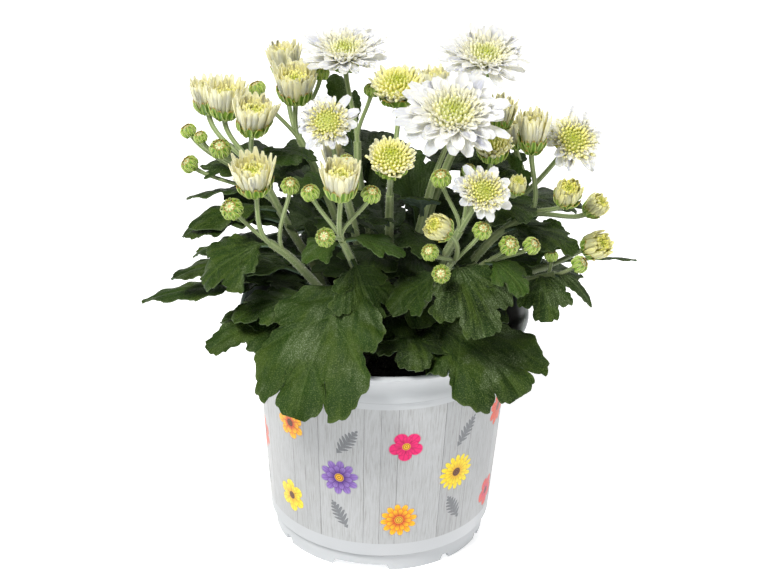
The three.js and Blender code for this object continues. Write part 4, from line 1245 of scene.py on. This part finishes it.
def petal_rows(rows, root, tip, half, finish, seed, cup, waist, uneven, cup_step=0, lift=0):
    """Rings of petals that run from root to tip and turn up by curl on the way, each a row of
    [count, root radius, root height, tip radius, tip height, share of the lift, curl, half width, rank]
    in shares of the root's radius and height, the tip's, and the half width given"""
    made = []
    for i, (count, root_r, root_z, tip_r, tip_z, lifted, curl, width, rank) in enumerate(rows):
        radius, height = root_r * root[0], root_z * root[1]
        run = tip_r * tip[0] - radius
        rise = tip_z * tip[1] + lifted * lift - height
        bend = abs(curl) / 2 + 1e-6
        length = math.hypot(run, rise) * bend / math.sin(bend)
        lean = math.degrees(math.atan2(rise, run) - 0.45 * curl)
        petal = petal_mesh(length, width * half, curl, cup + cup_step * i, waist)
        at = seed + ROW_SEEDS * i
        made.append(ring(count, radius, height, lean, petal, finish, rank, at, at * 0.37 % 1, uneven))
    return made


def heart(count, radius, height, rise, edge_lean, floret, finish, rank, seed):
    """A dome of florets, with the outermost ones' lean in degrees"""
    return grown(HEART, floret, count, radius, height, rise, math.radians(edge_lean), rank, seed, finish)


def cushion(radius, top, rise, finish):
    """The domed bed that florets stand on"""
    dome = [[radius * w, top - rise * w ** 2] for w in np.linspace(1, 0, 6)]
    bottom = top - rise - 1.5
    mesh = turned_mesh([[0, bottom], [radius * 0.8, bottom], *dome], 20, finish)
    mark(mesh, "rank", 0.84)
    mark(mesh, "tone", 0.5)
    return mesh


def quill_mesh(length, half_width, curl=0.5):
    """A floret rolled to a tube along +X that widens to a round closed tip and curls upwards"""
    profile = [[0, 0], [0.8, 0.03], [0.92, 0.4], [1, 0.7], [0.72, 0.92], [0, 1]]
    mesh = turned_mesh([[half_width * w, length * s] for w, s in profile], 6)
    side, across, way = points_of(mesh).T
    s = np.linspace(0, 1, 25)
    heading = curl * s ** 1.2
    turn = np.interp(way / length, s, heading)
    x, z = (np.interp(way / length, s, np.cumsum(part(heading)) * length / 25) for part in (np.cos, np.sin))
    set_points(mesh, np.stack([x - side * np.sin(turn), across, z + side * np.cos(turn)], -1))
    outward(mesh)
    return mesh


def wide_open_bloom(r, s, seed):
    """A wide head: long white outer petals, then steeper and creamier rows, round a dome of quills"""
    rows = [
        [15, 3.6, 6.8, 1, 7.4, 1, -0.14, 0.13, 0],
        [15, 3.8, 7.2, 0.95, 9.4, 1, 0, 0.125, 0.03],
        [14, 4, 7.6, 0.85, 11.3, 1, 0.1, 0.12, 0.1],
        [15, 4.2, 8, 0.7, 12.6, 0.6, 0.3, 0.094, 0.24],
        [18, 4.4, 8.2, 0.58, 13.2, 0.4, 0.4, 0.06, 0.38],
        [22, 4.2, 8.4, 0.49, 13.3, 0.3, 0.4, 0.045, 0.44],
    ]
    lift = 2.4 * s if r < LARGE_HEAD else 0
    quill = quill_mesh(4.8 * s, 0.022 * r + 0.26, 0.3)
    return [
        *petal_rows(rows, (s, s), (r, s), r, WHITE_PETAL, seed, 0.2, 0.36, 0.3, 0.14, lift),
        heart(130, 0.4 * r, 10.3 * s, 1.8 * s, 40, quill, WHITE_PETAL, 0.36, seed + 49),
        cushion(0.46 * r, 11.5 * s, 2 * s, WHITE_PETAL),
    ]


def spoon_bloom(r, s, seed):
    """A smaller open head: uneven spoon petals round a broad heart of quills"""
    rows = [
        [10, 2.6, 7, 1, 8, 0, -0.05, 0.16, 0],
        [11, 2.8, 7.4, 0.88, 9.8, 0, 0.1, 0.13, 0.1],
        [15, 3, 7.8, 0.76, 11, 0, 0.35, 0.085, 0.34],
        [18, 3.2, 8, 0.66, 11.6, 0, 0.5, 0.07, 0.46],
    ]
    quill = quill_mesh(4.4 * s, 0.042 * r, 0.35)
    return [
        *petal_rows(rows, (s, s), (r, s), r, WHITE_PETAL, seed, 0.3, 0.3, 0.42, 0.18),
        heart(120, 0.54 * r, 9.2 * s, 1.6 * s, 36, quill, CREAM_PETAL, 0.26, seed + 35),
        cushion(0.58 * r, 10.5 * s, 1.8 * s, CREAM_PETAL),
    ]


def open_bloom(r, s, seed):
    return (wide_open_bloom if r > WIDE_HEAD else spoon_bloom)(r, s, seed)


def cup_bloom(r, h, seed):
    """A half-open head: an uneven crown of narrow upright straps, filled by yellow quills"""
    rows = [
        [17, 0.82, 0.45, 1.03, 1, 0, 0.3, 1, 0],
        [16, 0.74, 0.45, 0.9, 0.98, 0, 0.36, 0.95, 0.14],
        [15, 0.62, 0.45, 0.75, 0.94, 0, 0.4, 0.82, 0.3],
        [14, 0.5, 0.45, 0.6, 0.9, 0, 0.4, 0.7, 0.42],
    ]
    half = math.pi * r / 17 * 0.86
    quill = quill_mesh(0.32 * h, 0.085 * r)
    return [
        *petal_rows(rows, bowl_size(r, h), (r, h), half, CREAM_PETAL, seed, 0.45, 0.55, 0.26),
        heart(56, 0.54 * r, 0.54 * h, 0.03 * h, 76, quill, CREAM_PETAL, 0.5, seed + 35),
        cushion(0.6 * r, 0.66 * h, 0.02 * h, CREAM_PETAL),
    ]


def yellow_bloom(r, h, seed):
    """A young yellow head: a pompon of quills over short cream petals"""
    rows = [
        [13, 0.7, 0.6, 1, 0.66, 0, 0.35, 0.13, 0],
        [15, 0.66, 0.7, 0.96, 0.78, 0, 0.45, 0.11, 0.2],
    ]
    ri, hi = bowl_size(r, h)
    long_quill = quill_mesh(0.68 * r, 0.07 * r)
    quill = quill_mesh(0.28 * h, 0.06 * r, 0.4)
    return [
        *petal_rows(rows, (ri, hi), (r, h), r, CREAM_PETAL, seed, 0.5, 0.5, 0.4),
        ring(22, 0.5 * ri, 0.9 * hi, 26, long_quill, CREAM_PETAL, 0.25, seed + 14, 0.2, 0.4),
        heart(128, 0.72 * r, 0.72 * h, 0.22 * h, 26, quill, CREAM_PETAL, 0.22, seed + 28),
        cushion(0.76 * r, 0.8 * h, 0.24 * h, YELLOW_PETAL),
    ]


def opening_bloom(r, h, seed):
    """A head just opening: narrow petals folded inwards round a small green-yellow heart"""
    rows = [
        [16, 0.86, 0.45, 0.86, 0.86, 0, 0.8, 1, 0.1],
        [15, 0.76, 0.45, 0.72, 0.9, 0, 0.75, 0.9, 0.2],
        [13, 0.62, 0.45, 0.56, 0.9, 0, 0.65, 0.75, 0.34],
    ]
    half = math.pi * r / 16 * 0.84
    quill = quill_mesh(0.24 * h, 0.085 * r)
    return [
        *petal_rows(rows, bowl_size(r, h), (r, h), half, YELLOW_PETAL, seed, 0.5, 0.55, 0.2),
        heart(44, 0.44 * r, 0.68 * h, 0.04 * h, 72, quill, YELLOW_PETAL, 0.5, seed + 28),
        cushion(0.56 * r, 0.8 * h, 0.03 * h, YELLOW_PETAL),
    ]


def bowl_size(r, h):
    """The radius and height of the green bowl that a head stands in"""
    return 0.72 * r, 0.4 * h


def scale_mesh(length, half_width, curl):
    return petal_mesh(length, half_width, curl, -0.3, waist=0.8, round_from=0.5, thick=0.3, rows=4, columns=3)


def scale_rings(rings, unit, length_unit, half, seed):
    """Rings of scales, each [count, radius, height, lean, length, half width, curl, turn, unevenness]"""
    made = []
    for i, (count, radius, height, lean, length, width, curl, turn, uneven) in enumerate(rings):
        scale = scale_mesh(length * length_unit, width * half, curl)
        made.append(ring(count, radius * unit[0], height * unit[1], lean, scale, BRACT_SKIN, 0.3 * i,
                         seed + ROW_SEEDS * i, turn, uneven))
    return made


def cup_scales(r, h, seed):
    """The green cup under a half-open head: a bowl under three rows of scales"""
    ri, hi = bowl_size(r, h)
    bowl = [[0, -1.4], [0.35 * ri, -0.7]] + [[w * ri, z * hi] for w, z in (
        (0.62, 0.1), (0.82, 0.34), (0.93, 0.66), (0.97, 0.95), (0.7, 0.7), (0, 0.45))]
    rings = [
        [9, 0.42, -0.04, 32, 0.7, 0.7, 0.55, 0.3, 0.3],
        [11, 0.68, 0.16, 54, 0.74, 0.66, 0.4, 0, 0.36],
        [12, 0.88, 0.36, 68, 0.86, 0.64, 0.12, 0.5, 0.4],
    ]
    return [turned_mesh(bowl, 18, BRACT_SKIN), *scale_rings(rings, (ri, hi), hi, 0.34 * ri, seed)]


def open_scales(s, seed):
    """The green base under an open head"""
    bowl = [
        [0, -1.4], [1.5, -0.5], [3.4, 0.3], [5, 1.7], [6.1, 3.6], [6.3, 5], [5.4, 6.4], [3.6, 7.6], [0, 7.9],
    ]
    rings = [
        [9, 2.6, 0, 26, 3.2, 1.5, 0.5, 0.3, 0.12],
        [11, 4.4, 1.1, 46, 3.2, 1.5, 0.4, 0, 0.12],
        [13, 5.7, 2.6, 66, 3.4, 1.5, 0.2, 0.5, 0.12],
    ]
    base = turned_mesh([[w * s, z * s] for w, z in bowl], 20, BRACT_SKIN)
    return [base, *scale_rings(rings, (s, s), s, s, seed)]


def bud_meshes(radius, seed):
    """A green bud: a ball of cream petal tips wrapped in curved scales"""
    rows = 9
    ways = [math.pi * i / rows for i in range(rows + 1)]
    profile = [[0.86 * radius * math.sin(way), -0.78 * radius * math.cos(way)] for way in ways]
    profile[0][0] = profile[-1][0] = 0
    made = [turned_mesh(profile, 24, BUD_SKIN)]
    # [count, degrees from the bottom, length, half width]
    rings = [[7, 38, 0.95, 0.5], [8, 64, 1, 0.5], [8, 88, 0.92, 0.42]]
    for k, (count, degrees, length, half) in enumerate(rings):
        way = math.radians(degrees)
        scale = scale_mesh(length * radius, half * radius * 0.8, length * 1.02)
        at, height = 0.9 * radius * math.sin(way), -0.82 * radius * math.cos(way)
        made.append(ring(count, at, height, degrees - 2, scale, BRACT_SKIN, 0.3 * k, seed + ROW_SEEDS * k,
                         0.5 * (k % 2), 0.06))
    return made


# Each kind of head: its maker and its slot
BLOOMS = {
    "open": (open_bloom, "petals_white"),
    "cup": (cup_bloom, "petals_cream"),
    "opening": (opening_bloom, "petals_cream"),
    "yellow": (yellow_bloom, "petals_yellow"),
}


def green_meshes(kind, size, height, seed):
    if kind == "bud":
        return bud_meshes(size, seed)
    return open_scales(height, seed) if kind == "open" else cup_scales(size, height, seed)


def build_plant():
    """Every stem with its stalks, down, leaves, scales and buds as one piece, and every bloom as one"""
    chance = np.random.default_rng(46)
    seed = 100
    for name, way, heads, leaves, inner_leaves in STEMS:
        path = StemPath(way)
        bark = grown(RIBBED, stem_lines(name, path, heads), RIBS, RIB_DEPTH, STEM)
        made = [bark, grown(STEM_DOWN, bark, HAIRS_PER_MM2, HAIR_LENGTH, seed, DOWN)]
        for i, (place, *leaf) in enumerate(leaves + inner_leaves):
            made.append(leaf_mesh(path.at(path.share(place)), chance.random(), i >= len(leaves), *leaf))
        for head_name, kind, _, base, axis, size, *more in heads:
            height = more[0] if more else 0
            seed += HEAD_SEEDS
            made += [placed(mesh, base, axis) for mesh in green_meshes(kind, size, height, seed)]
            if kind != "bud":
                maker, slot = BLOOMS[kind]
                petals = [placed(mesh, base, axis) for mesh in maker(size, height, seed + HEAD_SEEDS // 2)]
                piece(head_name + "_petals", petals, head_name)
        piece(name + "_leafy", made, name)


# Pot
def arc(centre, radius, start, end, steps):
    """Points of a round stretch, with angles in degrees"""
    x, z = centre
    angles = [math.radians(start + (end - start) * i / steps) for i in range(steps + 1)]
    return [[x + radius * math.cos(angle), z + radius * math.sin(angle)] for angle in angles]


def pot_profile():
    """The wall from the centre pad out, up the outside, over the rolled lip and down the inside"""
    inner_bottom = WALL_BOTTOM_RADIUS - WALL
    lip = 1.15
    groove = FOOT_HEIGHT - GROOVE_WIDTH
    shoulder = (WALL_TOP_RADIUS + 14, COLLAR_BOTTOM + 4.5)
    return [
        [0, 0], [14, 0], [14.3, 0.3], [15, 3.2], [44, 3.2], [44.7, 0.3], [45, 0], [46.9, 0],
        [FOOT_RADIUS, 0.35],
        [FOOT_RADIUS + 0.8, groove - 0.3], [FOOT_RADIUS + 0.75, groove], [FOOT_RADIUS + 1.2, groove + 0.35],
        [WALL_BOTTOM_RADIUS - 0.3, FOOT_HEIGHT - 0.35], [WALL_BOTTOM_RADIUS, FOOT_HEIGHT + 0.3],
        [WALL_TOP_RADIUS, COLLAR_BOTTOM - 0.7],
        [WALL_TOP_RADIUS + 0.1, COLLAR_BOTTOM - 0.2], [WALL_TOP_RADIUS + 1.1, COLLAR_BOTTOM],
        *arc(shoulder, 12.9, 191, 152, 7),
        *arc((RIM_RADIUS - lip, POT_TOP - lip), lip, -20, 120, 7),
        [RIM_RADIUS - 2.6, POT_TOP - 2.2],
        *arc(shoulder, 14.4, 154, 190, 6),
        [WALL_TOP_RADIUS - WALL, COLLAR_BOTTOM - 1],
        [inner_bottom - 0.8, FLOOR_TOP + 1.2], [inner_bottom - 2, FLOOR_TOP], [0, FLOOR_TOP],
    ]


def notch_block(degrees, width_degrees):
    """A notch through the foot ring, narrower at the top"""
    near, far, slope = 42.7, 51.7, 1.6
    spread = far * math.tan(math.radians(width_degrees) / 2)
    section = [(-spread, -1), (spread, -1), (spread - slope, 3), (-spread + slope, 3)]
    points = [(x, -reach, z) for reach in (near, far) for x, z in section]
    faces = [(0, 1, 2, 3), (7, 6, 5, 4), (0, 4, 5, 1), (1, 5, 6, 2), (2, 6, 7, 3), (3, 7, 4, 0)]
    mesh = solid_mesh(points, faces)
    mesh.transform(Matrix.Rotation(math.radians(degrees), 4, "Z"))
    return mesh


def pot_cutter():
    blocks = [notch_block(at, 29) for at in (-9.5, 110, 230)]
    blocks += [notch_block(at, 7) for at in (40, 70, 150, 190, 270, 301)]
    for i in range(6):
        angle = math.tau * (i + 0.5) / 6
        drain = turned_mesh([[0, -2], [4, -2], [4, 8], [0, 8]], 24)
        drain.transform(Matrix.Translation((30 * math.cos(angle), 30 * math.sin(angle), 0)))
        blocks.append(drain)
    whole = bmesh.new()
    for block in blocks:
        whole.from_mesh(block)
    mesh = bpy.data.meshes.new("pot_cutter")
    whole.to_mesh(mesh)
    whole.free()
    return mesh


def build_pot():
    """The turned pot with its drainage notches and holes cut out"""
    body = added("pot_shell", turned_mesh(pot_profile(), POT_SIDES, POT_PLASTIC))
    cutter = added("pot_cutter", pot_cutter())
    cut = body.modifiers.new("cut", "BOOLEAN")
    cut.operation = "DIFFERENCE"
    cut.solver = "EXACT"
    cut.object = cutter
    depsgraph = bpy.context.evaluated_depsgraph_get()
    mesh = bpy.data.meshes.new_from_object(body.evaluated_get(depsgraph), depsgraph=depsgraph)
    for item in (body, cutter):
        bpy.data.objects.remove(item)
    mesh.materials.clear()
    mesh.materials.append(POT_PLASTIC)
    x, y, z = points_of(mesh).T
    mark(mesh, "inside", (z > MID_WALL[0][0]) & (np.hypot(x, y) < np.interp(z, *MID_WALL)))
    piece("pot_printed", [mesh], "pot", smooth_angle=32)


def build_compost():
    """The root ball: an uneven crumbly top inside the pot"""
    top = SOIL_TOP - 1.4
    steps = 26
    ball = turned_mesh([
        [0, FLOOR_TOP + GAP], [SOIL_BOTTOM_RADIUS, FLOOR_TOP + GAP], [SOIL_RADIUS - 0.9, SOIL_TOP - 3],
        *([(SOIL_RADIUS - 1.2) * (1 - i / steps), top] for i in range(steps)), [0, top],
    ], 96, COMPOST)
    chance = np.random.default_rng(7)
    points = points_of(ball)
    x, y, z = points.T
    mounds = 0.5 * np.sin(x * 0.31 + 1) * np.cos(y * 0.27) + 0.35 * np.sin(x * 0.9 + y * 0.7)
    points[:, 2] += np.where(z > SOIL_TOP - 2, mounds + chance.normal(0, 0.25, len(points)), 0)
    set_points(ball, points)
    ground = ball.copy()
    work = bmesh.new()
    work.from_mesh(ground)
    bmesh.ops.delete(work, geom=[v for v in work.verts if v.co.z < SOIL_TOP - 4], context="VERTS")
    work.to_mesh(ground)
    work.free()
    crumbs = grown(CRUMBS, ground, CRUMBS_PER_MM2, CRUMB_SIZE, 5, COMPOST)
    piece("compost_crumbly", [ball, crumbs], "compost", smooth_angle=30)


# Studio
def soft_light(name, place, size, power, colour):
    data = bpy.data.lights.new(name, "AREA")
    data.shape = "DISK"
    data.size = size
    data.energy = power
    data.color = colour
    light = added(name, data)
    light.location = place
    light.rotation_mode = "QUATERNION"
    light.rotation_quaternion = (LIGHT_TARGET - Vector(place)).to_track_quat("-Z", "Y")


def build_studio():
    for light in LIGHTS:
        soft_light(*light)
    world = bpy.data.worlds.new("studio_air")
    world.use_nodes = True
    air = world.node_tree.nodes["Background"]
    air.inputs["Color"].default_value = AIR_COLOUR
    air.inputs["Strength"].default_value = AIR_STRENGTH
    bpy.context.scene.world = world
    bpy.context.scene.view_settings.view_transform = "Standard"
    mesh = bpy.data.meshes.new("studio_floor")
    corners = [(x * FLOOR_REACH, y * FLOOR_REACH, 0) for x, y in ((-1, -1), (1, -1), (1, 1), (-1, 1))]
    mesh.from_pydata(corners, [], [(0, 1, 2, 3)])
    paint = Finish("floor_white", 0.9, {"Emission Strength": FLOOR_GLOW})
    grain = paint.noise(paint.place(), 40).rising(0.3, 0.7)
    white = paint.mix(grain, (0.9, 0.9, 0.9), (0.93, 0.93, 0.93))
    paint.put(paint.shader.inputs["Emission Color"], white)
    mesh.materials.append(paint.done(white))
    added("studio_floor", mesh)


build_pot()
build_compost()
build_plant()
build_studio()
